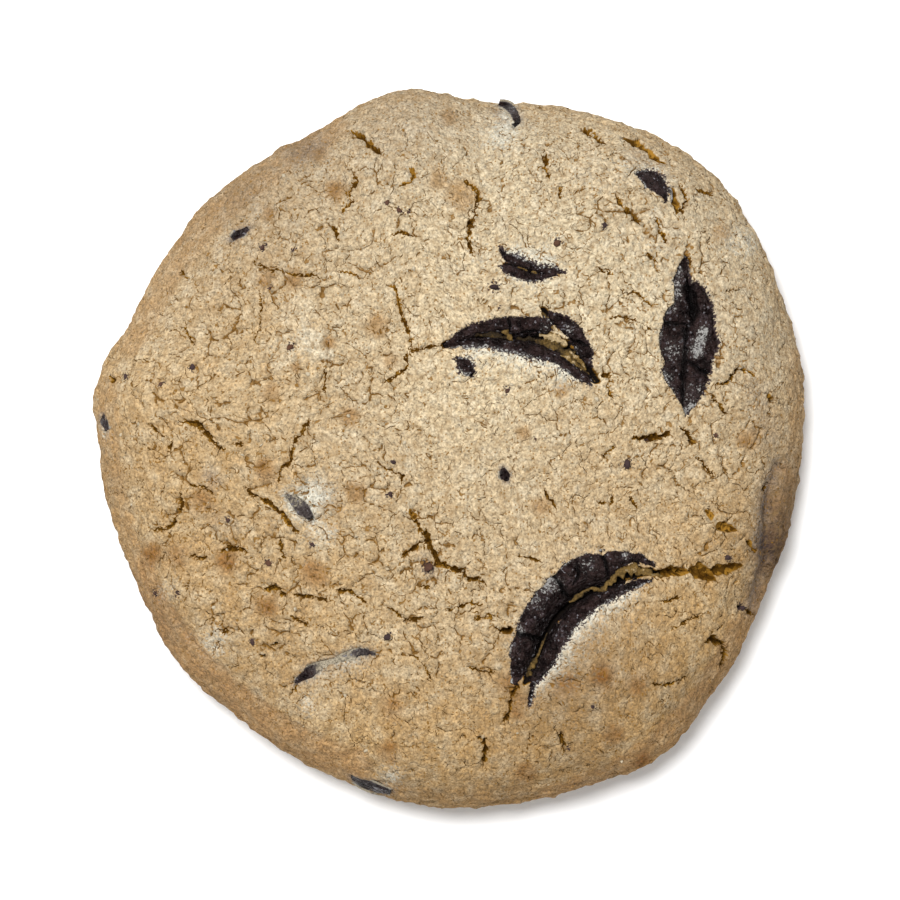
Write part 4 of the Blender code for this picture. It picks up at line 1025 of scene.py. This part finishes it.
def granules(tree, point, size, offset=0.0, flat="2D"):
    # small round lumps: distance from their middles, and a value for each
    if offset:
        point = vectorSum(tree, "ADD", point, (offset, offset, -offset))
    inputs = {"Vector": point, "Scale": 1 / (size * mm)}
    node = addNode(tree, "ShaderNodeTexVoronoi", {"feature": "F1", "voronoi_dimensions": flat}, inputs)
    shade = addNode(tree, "ShaderNodeSeparateXYZ", {}, {0: node.outputs["Color"]}).outputs[0]
    return node.outputs["Distance"], shade


doughColours = {
    "crust": (0.344, 0.267, 0.166, 1),
    "brown": (0.274, 0.190, 0.103, 1),
    "pale": (0.394, 0.339, 0.246, 1),
    "rim": (0.272, 0.157, 0.068, 1),
    "flour": (0.446, 0.430, 0.360, 1),
    # painted shade for the creases between lumps
    "creaseShade": (0.216, 0.132, 0.055, 1),
    # brown of the crack lines, darkened partly as painted shade
    "line": (0.195, 0.095, 0.016, 1),
    "gold": (0.260, 0.132, 0.018, 1),
    "olive": (0.125, 0.058, 0.006, 1),
    # painted shade for the dark cores of cracks and pits
    "deep": (0.044, 0.018, 0.001, 1),
    "veil": (0.150, 0.130, 0.115, 1),
    # painted shadow in the splits between the chocolate's lips
    "black": (0.006, 0.004, 0.003, 1),
    "fleck": (0.035, 0.023, 0.023, 1),
}


def doughMaterial():
    material, tree, shader = newMaterial("baked dough")
    rest = readField(tree, "sheet", "FLOAT_VECTOR")
    (coarse, _, _), (fine, _, _) = doughCracks(tree, rest, readField(tree, "plates"))
    # tiny pits, drawn only in colour as dots of painted shade
    pits, pitShade = granules(tree, rest, 0.36, 0.029)
    pits = sumUp(tree, "MULTIPLY", remap(tree, pits, 0.34, 0.16), remap(tree, pitShade, 0.8, 0.9))

    broad = noiseAt(tree, rest, 7.0, 2.0, 0.07)["Fac"]
    patches = noiseAt(tree, rest, 1.8, 3.0, 0.11)["Fac"]
    grain = noiseAt(tree, rest, 0.22, 2.0, 0.17, 0.7)["Fac"]
    lumps, lumpShade = granules(tree, rest, 0.42)
    specks, speckShade = granules(tree, rest, 0.2, 0.023)

    browned = remap(tree, broad, 0.35, 0.7, 0.0, 0.2)
    colour = mixColours(tree, browned, doughColours["crust"], doughColours["brown"])
    colour = mixColours(tree, remap(tree, patches, 0.45, 0.75, 0.0, 0.45), colour, doughColours["pale"])
    colour = mixColours(tree, remap(tree, patches, 0.5, 0.25, 0.0, 0.3), colour, doughColours["brown"])
    colour = mixColours(tree, readField(tree, "pale"), colour, doughColours["pale"])
    warm = sumUp(tree, "MULTIPLY", readField(tree, "warm"), remap(tree, patches, 0.3, 0.7, 1.3, 0.7))
    shadeAndTone = readField(tree, "shadeAndTone")
    colour = tint(tree, colour, warm, (0.07, 0.2, 0.38))
    # darker and browner in the wall's shallow hollows: painted shade in them
    layers = sumUp(tree, "MULTIPLY", wallLayers(tree), readField(tree, "wall"))
    colour = tint(tree, colour, layers, (0.22, 0.28, 0.36))
    # the rim's browner colour, with painted shade where the wall turns from the light and at the right fold
    rim = sumUp(tree, "MULTIPLY", readField(tree, "rim"), remap(tree, patches, 0.3, 0.7, 1.0, 0.6))
    colour = mixColours(tree, rim, colour, doughColours["rim"])
    # chocolate seen greyly through a film of crust, and painted shade along the right fold
    veil = sumUp(tree, "MULTIPLY", readField(tree, "veil"), remap(tree, grain, 0.3, 0.7, 1.1, 0.6))
    colour = mixColours(tree, veil, colour, doughColours["veil"])
    # painted shade and tone: darker at the rim's edge and the right fold, lighter where the amount is negative
    colour = tint(tree, colour, shadeAndTone, (0.25, 0.25, 0.22))
    spot = sumUp(tree, "MULTIPLY", readField(tree, "spot"), remap(tree, patches, 0.25, 0.65, 1.1, 0.8))
    colour = tint(tree, colour, spot, (0.36, 0.52, 0.68))
    flour = sumUp(tree, "MULTIPLY_ADD", speckShade, 0.5, sumUp(tree, "MULTIPLY", patches, 0.6))
    flour = sumUp(tree, "SUBTRACT", readField(tree, "flour"), flour)
    flour = remap(tree, flour, -0.4, 0.55, 0.0, 0.9)
    colour = mixColours(tree, flour, colour, doughColours["flour"])

    blotches = noiseAt(tree, rest, 0.6, 2.0, 0.21)["Fac"]
    bright = sumUp(tree, "MULTIPLY_ADD", lumpShade, 0.2, remap(tree, grain, 0.25, 0.75, 0.33, 0.95))
    bright = sumUp(tree, "MULTIPLY_ADD", speckShade, 0.44, bright)
    bright = sumUp(tree, "ADD", remap(tree, blotches, 0.3, 0.7, 0.0, 0.3), bright)
    colour = mixColours(tree, 1.0, colour, grey(tree, bright), "MULTIPLY")

    knobs, _ = granules(tree, rest, 1.0, 0.047)
    # painted shade in the creases between the lumps and the knobs, less where flour lies
    creaseShade = remap(tree, lumps, 0.35, 0.75, 0.0, 0.34)
    creaseShade = sumUp(tree, "ADD", creaseShade, remap(tree, knobs, 0.4, 0.8, 0.0, 0.28))
    creaseShade = sumUp(tree, "MULTIPLY", creaseShade, remap(tree, flour, 0.0, 0.9, 1.0, 0.3))
    colour = mixColours(tree, creaseShade, colour, doughColours["creaseShade"])
    # the net of cracks gets a browner colour, with painted shade in the cores of the deepest lines
    lines = sumUp(tree, "MAXIMUM", coarse, sumUp(tree, "MULTIPLY", fine, 0.7))
    lines = sumUp(tree, "MULTIPLY", lines, remap(tree, readField(tree, "pale"), 0.0, 1.0, 1.0, 0.2))
    colour = mixColours(tree, remap(tree, lines, 0.1, 0.5, 0.0, 0.85), colour, doughColours["line"])
    colour = mixColours(tree, remap(tree, lines, 0.55, 1.0, 0.0, 0.6), colour, doughColours["deep"])
    colour = mixColours(tree, sumUp(tree, "MULTIPLY", pits, 0.75), colour, doughColours["line"])

    opened = openCracks(tree, rest)
    golden = remap(tree, patches, 0.45, 0.62)
    floorColour = mixColours(tree, golden, doughColours["olive"], doughColours["gold"])
    colour = mixColours(tree, remap(tree, opened, 0.0, 0.12), colour, floorColour)
    # painted shade in the middle of the open cracks, where they are deepest
    dark = sumUp(tree, "MULTIPLY_ADD", lumpShade, -0.35, opened)
    colour = mixColours(tree, remap(tree, dark, 0.15, 0.55, 0.0, 0.9), colour, doughColours["deep"])
    pit = readField(tree, "pit")
    colour = mixColours(tree, remap(tree, pit, 0.1, 0.3), colour, floorColour)
    # painted shade in the deepest parts of the pits
    dark = sumUp(tree, "MULTIPLY_ADD", lumpShade, -0.9, sumUp(tree, "MULTIPLY_ADD", patches, -0.6, pit))
    colour = mixColours(tree, remap(tree, dark, -0.25, 0.1, 0.0, 0.85), colour, doughColours["deep"])
    split = readField(tree, "split")
    colour = mixColours(tree, remap(tree, split, 0.05, 0.3), colour, floorColour)
    shadow = sumUp(tree, "MULTIPLY_ADD", grain, 0.5, split)
    colour = mixColours(tree, remap(tree, shadow, 0.55, 0.8), colour, doughColours["black"])

    stain = sumUp(tree, "MAXIMUM", readField(tree, "stain"), readField(tree, "fleck"))
    _, dotShade = granules(tree, rest, 0.15, 0.037)
    scatter = sumUp(tree, "MULTIPLY_ADD", dotShade, 0.7, sumUp(tree, "MULTIPLY_ADD", grain, 0.8, -0.25))
    dots = sumUp(tree, "SUBTRACT", stain, scatter)
    colour = mixColours(tree, remap(tree, dots, -0.14, 0.16), colour, doughColours["fleck"])

    bumps = sumUp(tree, "MULTIPLY_ADD", grain, 0.05, sumUp(tree, "MULTIPLY", lumps, -0.06))
    bumps = sumUp(tree, "MULTIPLY_ADD", specks, -0.03, bumps)
    bumps = sumUp(tree, "MULTIPLY_ADD", lines, -0.1, bumps)
    bump = addNode(tree, "ShaderNodeBump", {}, {"Height": bumps, "Distance": mm, "Strength": 1.0})
    tree.links.new(colour, shader.inputs["Base Color"])
    tree.links.new(bump.outputs[0], shader.inputs["Normal"])
    shader.inputs["Roughness"].default_value = 0.9
    shader.inputs["Specular IOR Level"].default_value = 0.05
    return material


chocolateColours = {
    "black": (0.0045, 0.0020, 0.0020, 1),
    "brown": (0.030, 0.0165, 0.0145, 1),
    "bloom": (0.062, 0.044, 0.048, 1),
    "dust": (0.40, 0.39, 0.37, 1),
    # painted glints
    "paintedGlint": (0.16, 0.15, 0.16, 1),
    "film": (0.085, 0.072, 0.068, 1),
}


def chocolateMaterial():
    material, tree, shader = newMaterial("dark chocolate")
    place = readField(tree, "rest", "FLOAT_VECTOR")
    grain = noiseAt(tree, place, 0.3, 3.0, 0.03, 0.7, "3D")["Fac"]
    patches = noiseAt(tree, place, 1.1, 3.0, 0.15, 0.6, "3D")["Fac"]
    lumps, lumpShade = granules(tree, place, 0.4, 0.0, "3D")
    specks, speckShade = granules(tree, place, 0.19, 0.013, "3D")
    facets, facetShade = granules(tree, place, 1.2, 0.027, "3D")
    tone = sumUp(tree, "MULTIPLY_ADD", lumpShade, 0.3, sumUp(tree, "MULTIPLY", facetShade, 0.25))
    tone = sumUp(tree, "MULTIPLY_ADD", patches, 1.2, tone)
    tone = remap(tree, tone, 0.55, 1.2)
    colour = mixColours(tree, tone, chocolateColours["black"], chocolateColours["brown"])
    bloom = sumUp(tree, "MULTIPLY", remap(tree, patches, 0.45, 0.7), remap(tree, speckShade, 0.3, 1.0))
    colour = mixColours(tree, bloom, colour, chocolateColours["bloom"])
    # painted shade, near black, on the sides that roll down into a split
    colour = mixColours(tree, readField(tree, "hollowShade"), colour, chocolateColours["black"])
    film = sumUp(tree, "MULTIPLY_ADD", sumUp(tree, "SUBTRACT", grain, 0.5), 1.3, readField(tree, "film"))
    colour = mixColours(tree, remap(tree, film, 0.0, 0.55), colour, chocolateColours["film"])
    colour = mixColours(tree, remap(tree, film, 0.45, 0.9), colour, doughColours["pale"])
    _, dotShade = granules(tree, place, 0.15, 0.019, "3D")
    scatter = sumUp(tree, "MULTIPLY_ADD", dotShade, 0.7, sumUp(tree, "MULTIPLY_ADD", grain, 0.8, -0.25))
    dust = sumUp(tree, "SUBTRACT", readField(tree, "dust"), scatter)
    haze = remap(tree, readField(tree, "dust"), 0.05, 0.8, 0.0, 0.6)
    colour = mixColours(tree, haze, colour, chocolateColours["film"])
    colour = mixColours(tree, remap(tree, dust, -0.1, 0.18, 0.0, 0.85), colour, chocolateColours["dust"])
    # painted glints: small light specks on the chocolate
    paintedGlint = sumUp(tree, "MULTIPLY", remap(tree, speckShade, 0.93, 0.98), remap(tree, patches, 0.42, 0.55))
    colour = mixColours(tree, paintedGlint, colour, chocolateColours["paintedGlint"])
    # painted shade, near black, in the splits across the chocolate
    colour = mixColours(tree, readField(tree, "split"), colour, (0.002, 0.0015, 0.0015, 1))
    height = sumUp(tree, "MULTIPLY_ADD", lumps, -0.8, grain)
    height = sumUp(tree, "MULTIPLY_ADD", facets, -0.9, height)
    height = sumUp(tree, "MULTIPLY_ADD", specks, -0.3, height)
    bump = addNode(tree, "ShaderNodeBump", {}, {"Height": height, "Distance": 0.5 * mm, "Strength": 1.0})
    tree.links.new(colour, shader.inputs["Base Color"])
    tree.links.new(bump.outputs[0], shader.inputs["Normal"])
    tree.links.new(remap(tree, lumpShade, 0.0, 1.0, 0.25, 0.6), shader.inputs["Roughness"])
    shader.inputs["Specular IOR Level"].default_value = 0.09
    return material


def lumpMaterial(name, shades):  # loose lumps, each in a shade of its own between three colours
    material, tree, shader = newMaterial(name)
    place = readField(tree, "rest", "FLOAT_VECTOR")
    grain = noiseAt(tree, place, 0.2, 2.0, 0.09, 0.7, "3D")["Fac"]
    shade = sumUp(tree, "MULTIPLY_ADD", grain, 0.5, readField(tree, "shade"))
    colour = mixColours(tree, remap(tree, shade, 0.1, 0.6), shades[0], shades[1])
    colour = mixColours(tree, remap(tree, shade, 0.6, 1.2), colour, shades[2])
    tree.links.new(colour, shader.inputs["Base Color"])
    shader.inputs["Roughness"].default_value = 0.9
    shader.inputs["Specular IOR Level"].default_value = 0.15
    return material


def shredMaterial():  # moist inner dough, torn where a split opened, with dry crust left on it
    material, tree, shader = newMaterial("torn dough")
    place = readField(tree, "rest", "FLOAT_VECTOR")
    patches = noiseAt(tree, place, 0.8, 3.0, 0.03, 0.6, "3D")["Fac"]
    grain = noiseAt(tree, place, 0.22, 2.0, 0.09, 0.7, "3D")["Fac"]
    dry = sumUp(tree, "MULTIPLY_ADD", patches, 1.3, readField(tree, "dry"))
    moist, golden, crusty = (0.020, 0.012, 0.004, 1), (0.136, 0.082, 0.022, 1), (0.37, 0.275, 0.15, 1)
    colour = mixColours(tree, remap(tree, dry, 0.45, 0.95), moist, golden)
    colour = mixColours(tree, remap(tree, dry, 1.05, 1.25), colour, crusty)
    colour = mixColours(tree, 1.0, colour, grey(tree, remap(tree, grain, 0.2, 0.8, 0.55, 1.35)), "MULTIPLY")
    bump = addNode(tree, "ShaderNodeBump", {}, {"Height": grain, "Distance": 0.2 * mm, "Strength": 1.0})
    tree.links.new(colour, shader.inputs["Base Color"])
    tree.links.new(bump.outputs[0], shader.inputs["Normal"])
    shader.inputs["Roughness"].default_value = 0.7
    shader.inputs["Specular IOR Level"].default_value = 0.15
    return material


# Chocolate pieces


def ringMesh(name, rings, tips):  # a closed skin over rings of points, with a point at each end
    count, around = rings.shape[:2]
    points = np.concatenate([rings.reshape(-1, 3), tips])
    faces = []
    for i in range(count - 1):
        for j in range(around):
            k = (j + 1) % around
            faces.append((i * around + j, i * around + k, (i + 1) * around + k, (i + 1) * around + j))
    for j in range(around):
        k = (j + 1) % around
        faces.append((count * around, k, j))
        faces.append((count * around + 1, (count - 1) * around + j, (count - 1) * around + k))
    mesh = bpy.data.meshes.new(name)
    mesh.from_pydata(points, [], faces)
    mesh.update()
    return mesh, points


def routeFrame(route, step):  # places along a route, with the direction across it
    length = np.hypot(*np.diff(route[:, :2], axis=0).T).sum()
    shares = np.linspace(0, 1, max(12, int(length / step)))
    line = smoothCurve(route, shares)
    ahead = smoothCurve(route, np.minimum(shares + 0.01, 1))
    ahead = ahead - smoothCurve(route, np.maximum(shares - 0.01, 0))
    ahead = ahead[:, :2] / np.hypot(ahead[:, 0], ahead[:, 1])[:, None]
    return line, np.column_stack([-ahead[:, 1], ahead[:, 0]])


def makeChocolate(name, piece, material):
    route = np.array(piece["route"])
    line, aside = routeFrame(route, 0.1)
    count = len(line)
    around = 88 if route[:, 2].max() > 0.7 else 44
    reach = np.maximum(line[:, 2], 0.05) + 0.25
    turn = np.linspace(0, 2 * math.pi, around, endpoint=False)
    across, up = np.cos(turn), np.sin(turn)
    plan = line[:, None, :2] + aside[:, None, :] * (reach[:, None] * across[None, :])[..., None]
    flat = plan.reshape(-1, 2)
    fat = np.clip(line[:, 2], 0.2, 1.5)[:, None]
    halo = np.where(across > 0, piece["left"], piece["right"])
    inner = (halo == 0) * smoothStep(0.25, 1.0, np.abs(across))  # the side that rolls down into a split
    rise = np.where(up > 0, 0.42 * (up - 0.6) * fat, piece["depth"] * fat * up - 0.25 * fat)
    rise -= 0.9 * inner[None, :] * np.minimum(fat, 1.0)
    lumps = 0.2 * planNoise(flat, 1.9, 71) + 0.2 * planNoise(flat, 0.8, 73)
    lumps += 0.08 * planNoise(flat, 0.35, 75)
    height = crustHeight(flat).reshape(count, around) - piece["sink"] + rise
    rings = np.dstack([plan, height + lumps.reshape(count, around) * (up > 0)])
    ends = np.array([rings[0].mean(axis=0), rings[-1].mean(axis=0)])
    mesh, points = ringMesh(name, rings, ends)
    upward = np.concatenate([np.tile(np.clip(up, 0, 1), count), [0, 0]])
    opened, openMark = carve(wobble(points[:, :2], 0.2, 0.9, 61), upward > 0, piece.get("splits", []))
    points[:, 2] -= opened * upward
    setPoints(mesh, points)
    inside = (line[:, 2:] - np.abs(across)[None, :] * reach[:, None]).ravel()
    band = 0.08 + 0.7 * np.tile(halo, count)
    edgeDust = np.minimum(2.5 * np.tile(halo, count), 1) * smoothStep(band, -band, inside)
    spill = np.clip(blobSum(points[:, :2], piece.get("dust", [])), 0, 0.75)
    film = np.zeros(len(points))
    if "film" in piece:
        base, blobs = piece["film"]
        film = base + blobSum(points[:, :2], blobs)
        film[:-2] += (1 - base) * smoothStep(0.35 * line[:, 2].max(), -0.15, inside)
        edgeDust = 0.0 * edgeDust
    storeValues(mesh, "rest", points * mm, "FLOAT_VECTOR")
    storeValues(mesh, "dust", np.maximum(np.concatenate([edgeDust, [0, 0]]), spill))
    storeValues(mesh, "film", np.clip(film, 0, 1))
    # painted shade for the side that rolls down into a split
    storeValues(mesh, "hollowShade", np.concatenate([np.tile(inner, count), [0, 0]]))
    storeValues(mesh, "split", openMark)
    mesh.shade_smooth()
    return addObject(name + "_broken", mesh, material)


# Shreds of dough across the splits: how dry they are, and x, y and half the width
shreds = {
    "notch": (0.1, [(9.2, 13.9, 0.12), (9.6, 13.2, 0.3), (10.1, 12.6, 0.28), (10.4, 11.9, 0.15)]),
    "peak": (0.6, [(10.5, 12.5, 0.08), (10.5, 11.9, 0.3), (10.4, 11.4, 0.35), (10.2, 11.1, 0.2)]),
    "arch": (0.6, [
        (9.0, 11.5, 0.12), (9.8, 11.4, 0.35), (10.6, 11.2, 0.5), (11.2, 10.9, 0.35), (11.8, 10.4, 0.15),
    ]),
    "archFloor": (0.05, [
        (8.6, 11.0, 0.2), (9.6, 10.6, 0.6), (10.6, 10.3, 0.6), (11.6, 9.8, 0.6), (12.4, 9.0, 0.5),
        (13.2, 8.1, 0.5), (14.0, 7.2, 0.35), (14.6, 6.8, 0.1),
    ]),
    "archLeft": (0.25, [(5.1, 12.5, 0.12), (5.5, 12.0, 0.3), (6.0, 11.3, 0.28), (6.5, 10.9, 0.15)]),
    "archDark": (-0.25, [
        (1.5, 11.1, 0.15), (3.0, 11.5, 0.25), (4.5, 11.4, 0.35), (6.5, 11.0, 0.25), (8.6, 11.1, 0.2),
    ]),
    "archRight": (0.55, [
        (11.1, 9.4, 0.12), (11.8, 9.2, 0.3), (12.4, 8.8, 0.28), (12.9, 8.2, 0.25), (13.5, 7.4, 0.12),
    ]),
    "archEnd": (0.45, [(12.0, 9.9, 0.1), (12.7, 9.3, 0.22), (13.3, 8.7, 0.22), (13.7, 8.0, 0.1)]),
    "crescentLow": (0.08, [
        (7.7, -22.8, 0.15), (8.1, -22.1, 0.35), (8.5, -21.3, 0.3), (8.9, -20.5, 0.14),
        (9.3, -19.5, 0.12), (9.8, -18.3, 0.06),
    ]),
    "crescentHigh": (0.18, [
        (12.0, -15.2, 0.1), (12.8, -14.7, 0.25), (13.6, -14.1, 0.2), (14.4, -13.8, 0.16),
        (15.2, -14.0, 0.28), (15.9, -13.3, 0.3), (16.7, -12.6, 0.3),
    ]),
    "crescentEnd": (0.35, [
        (16.4, -12.8, 0.15), (17.2, -12.2, 0.6), (18.2, -11.9, 0.7), (19.4, -12.1, 0.5),
        (20.6, -12.5, 0.3), (21.4, -12.6, 0.1),
    ]),
    "small": (0.2, [(5.8, 18.8, 0.1), (7.0, 18.3, 0.15), (8.3, 17.8, 0.12), (9.4, 17.7, 0.15)]),
}


def makeShreds(material):
    around = 28
    turn = np.linspace(0, 2 * math.pi, around, endpoint=False)
    joined = bmesh.new()
    dryness = []
    for dry, route in shreds.values():
        line, aside = routeFrame(np.array(route), 0.08)
        tear = np.column_stack([planNoise(line[:, :2], 0.5, 81), planNoise(line[:, :2], 0.5, 85)])
        tear += 0.6 * np.column_stack([planNoise(line[:, :2], 0.25, 87), planNoise(line[:, :2], 0.25, 89)])
        thick = np.where(np.cos(turn)[None, :] > 0, tear[:, :1], tear[:, 1:])
        thick = np.clip(1 + 0.9 * thick, 0.15, 2.0) * line[:, 2:]
        plan = line[:, None, :2] + aside[:, None, :] * (thick * np.cos(turn)[None, :])[..., None]
        flat = plan.reshape(-1, 2)
        height = crustHeight(line[:, :2])[:, None] - 0.75 + 0.5 * dry
        height = height + np.sin(turn)[None, :] * np.minimum(thick, 0.25)
        height += (0.3 * planNoise(flat, 0.6, 83) + 0.12 * planNoise(flat, 0.25, 91)).reshape(height.shape)
        rings = np.dstack([plan, height])
        mesh, points = ringMesh("shred", rings, np.array([rings[0].mean(axis=0), rings[-1].mean(axis=0)]))
        setPoints(mesh, points)
        joined.from_mesh(mesh)
        bpy.data.meshes.remove(mesh)
        edge = 0.35 * np.abs(np.cos(turn)) ** 3
        dryness += [np.tile(dry - edge, len(line)), [dry - 0.3] * 2]
    mesh = bpy.data.meshes.new("dough_shreds")
    joined.to_mesh(mesh)
    joined.free()
    storeValues(mesh, "rest", readPoints(mesh), "FLOAT_VECTOR")
    storeValues(mesh, "dry", np.concatenate(dryness))
    mesh.shade_smooth()
    return addObject("dough_shreds", mesh, material)


crumbs = {
    "Density": 0.11 / mm**2,
    "Smallest": 0.07 * mm,
    "Largest": 0.34 * mm,
    "Seed": 5,
}


def randomValue(tree, low, high, seed, kind="FLOAT"):
    first, output = (0, 0) if kind == "FLOAT_VECTOR" else (2, 1)
    inputs = {first: low, first + 1: high, "Seed": seed}
    return addNode(tree, "FunctionNodeRandomValue", {"data_type": kind}, inputs).outputs[output]


def lumpTree(name, sizes, material, faces):
    # small broken lumps on points, each turned and squeezed its own way
    tree, start = startTree(name, sizes)
    if "Density" in sizes:
        density = sumUp(tree, "MULTIPLY", start["Density"], readField(tree, "crumbly"))
        inputs = {"Mesh": start["Geometry"], "Density": density, "Seed": start["Seed"]}
        points = addNode(tree, "GeometryNodeDistributePointsOnFaces", {}, inputs).outputs[0]
        share = sumUp(tree, "POWER", randomValue(tree, 0.0, 1.0, 3), 4.0)
        span = sumUp(tree, "SUBTRACT", start["Largest"], start["Smallest"])
        size = sumUp(tree, "MULTIPLY_ADD", share, span, start["Smallest"])
    else:
        points = start["Geometry"]
        size = sumUp(tree, "MULTIPLY", readField(tree, "size"), start["Fatness"])
    turn = randomValue(tree, (0.0, 0.0, 0.0), (6.3, 6.3, 6.3), start["Seed"], "FLOAT_VECTOR")
    squeeze = randomValue(tree, (0.7, 0.6, 0.5), (1.3, 1.1, 0.9), 7, "FLOAT_VECTOR")
    lump = addNode(tree, "GeometryNodeMeshIcoSphere", {}, {"Radius": 1.0, "Subdivisions": faces}).outputs[0]
    squeeze = vectorSum(tree, "SCALE", squeeze, size)
    inputs = {"Points": points, "Instance": lump, "Rotation": turn, "Scale": squeeze}
    placed = addNode(tree, "GeometryNodeInstanceOnPoints", {}, inputs).outputs[0]
    inputs = {"Geometry": placed, "Name": "shade", "Value": randomValue(tree, 0.0, 1.0, 11)}
    placed = addNode(tree, "GeometryNodeStoreNamedAttribute", {"domain": "INSTANCE"}, inputs).outputs[0]
    placed = addNode(tree, "GeometryNodeRealizeInstances", {}, {"Geometry": placed}).outputs[0]
    place = addNode(tree, "GeometryNodeInputPosition").outputs[0]
    push = noiseAt(tree, place, 0.3, 1.0, 0.0, 0.5, "3D")["Color"]
    push = vectorSum(tree, "SUBTRACT", push, (0.5, 0.5, 0.5))
    inputs = {"Geometry": placed, "Offset": vectorSum(tree, "SCALE", push, 0.25 * mm)}
    placed = addNode(tree, "GeometryNodeSetPosition", {}, inputs).outputs[0]
    inputs = {"Geometry": placed, "Name": "rest", "Value": place}
    kind = {"data_type": "FLOAT_VECTOR"}
    placed = addNode(tree, "GeometryNodeStoreNamedAttribute", kind, inputs).outputs[0]
    return endTree(tree, placed, material)


def makeLumps(name, mesh, tree, sizes):
    source = addObject("source", mesh)
    addTree(source, tree, sizes)
    finished = evaluatedMesh(source)
    bpy.data.objects.remove(source)
    bpy.data.meshes.remove(mesh)
    print(name, len(finished.polygons), "faces")
    return addObject(name, finished)


def fleckPoints(surface):
    flecks = np.array(crust["flecks"])
    starts = (flecks * (1, 1, 0) + doughMiddle + (0, 0, 50)) * mm
    places = [surface.ray_cast(start, (0, 0, -1))[1] for start in starts]
    mesh = bpy.data.meshes.new("fleck places")
    mesh.from_pydata(places, [], [])
    storeValues(mesh, "size", flecks[:, 2] * mm)
    return mesh


def dress(piece, slot, *nodes):
    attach(piece, "root")
    if nodes:
        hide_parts(*nodes)


doughObject = makeDough(doughMaterial())
dress(doughObject, "dough", "dough")
darkChocolate = chocolateMaterial()
for nodeName, piece in chocolate.items():
    dress(makeChocolate(nodeName, piece, darkChocolate), "chocolate", nodeName)
print("chocolate set")
dress(makeShreds(shredMaterial()), "dough")
print("shreds laid")
fleckSizes = {"Fatness": 1.15, "Seed": 4}
fleckShades = ((0.024, 0.015, 0.016, 1), (0.042, 0.026, 0.025, 1), (0.080, 0.038, 0.022, 1))
fleckTree = lumpTree("flecks", fleckSizes, lumpMaterial("flecks", fleckShades), 2)
bpy.context.view_layer.update()
dress(makeLumps("chocolate_flecks", fleckPoints(doughObject), fleckTree, fleckSizes), "chocolate")
crumbShades = [doughColours[name] for name in ("brown", "crust", "pale")]
crumbTree = lumpTree("crumbs", crumbs, lumpMaterial("crumbs", crumbShades), 1)
dress(makeLumps("dough_crumbs", doughObject.data.copy(), crumbTree, crumbs), "dough")


# Floor and light

studio = {
    "floor": (0.93, 0.93, 0.93, 1),
    "sky": 0.42,
    "key": {"place": (-0.22, 0.36, 1.15), "size": 0.6, "power": 22.0},
    "fill": {"place": (0.1, -0.8, 0.8), "size": 1.0, "power": 2.0},
}


def makeFloor():
    mesh = bpy.data.meshes.new("floor")
    reach = 3.0
    corners = [(-reach, -reach, 0), (reach, -reach, 0), (reach, reach, 0), (-reach, reach, 0)]
    mesh.from_pydata(corners, [], [(0, 1, 2, 3)])
    material, tree, shader = newMaterial("pale floor")
    shader.inputs["Base Color"].default_value = studio["floor"]
    shader.inputs["Roughness"].default_value = 0.9
    addObject("floor", mesh, material)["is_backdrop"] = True


def makeLight(name, settings):
    data = bpy.data.lights.new(name, "AREA")
    data.shape = "DISK"
    data.size = settings["size"]
    data.energy = settings["power"]
    light = bpy.data.objects.new(name, data)
    place = np.array(settings["place"])
    light.location = place
    flat = math.hypot(place[0], place[1])
    light.rotation_euler = (math.atan2(flat, place[2]), 0, math.atan2(place[1], place[0]) + math.pi / 2)
    bpy.context.scene.collection.objects.link(light)


makeFloor()
makeLight("key", studio["key"])
makeLight("fill", studio["fill"])
world = bpy.data.worlds.new("studio")
world.use_nodes = True
world.node_tree.nodes["Background"].inputs["Color"].default_value = (1.0, 1.0, 1.0, 1)
world.node_tree.nodes["Background"].inputs["Strength"].default_value = studio["sky"]
bpy.context.scene.world = world

low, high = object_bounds()
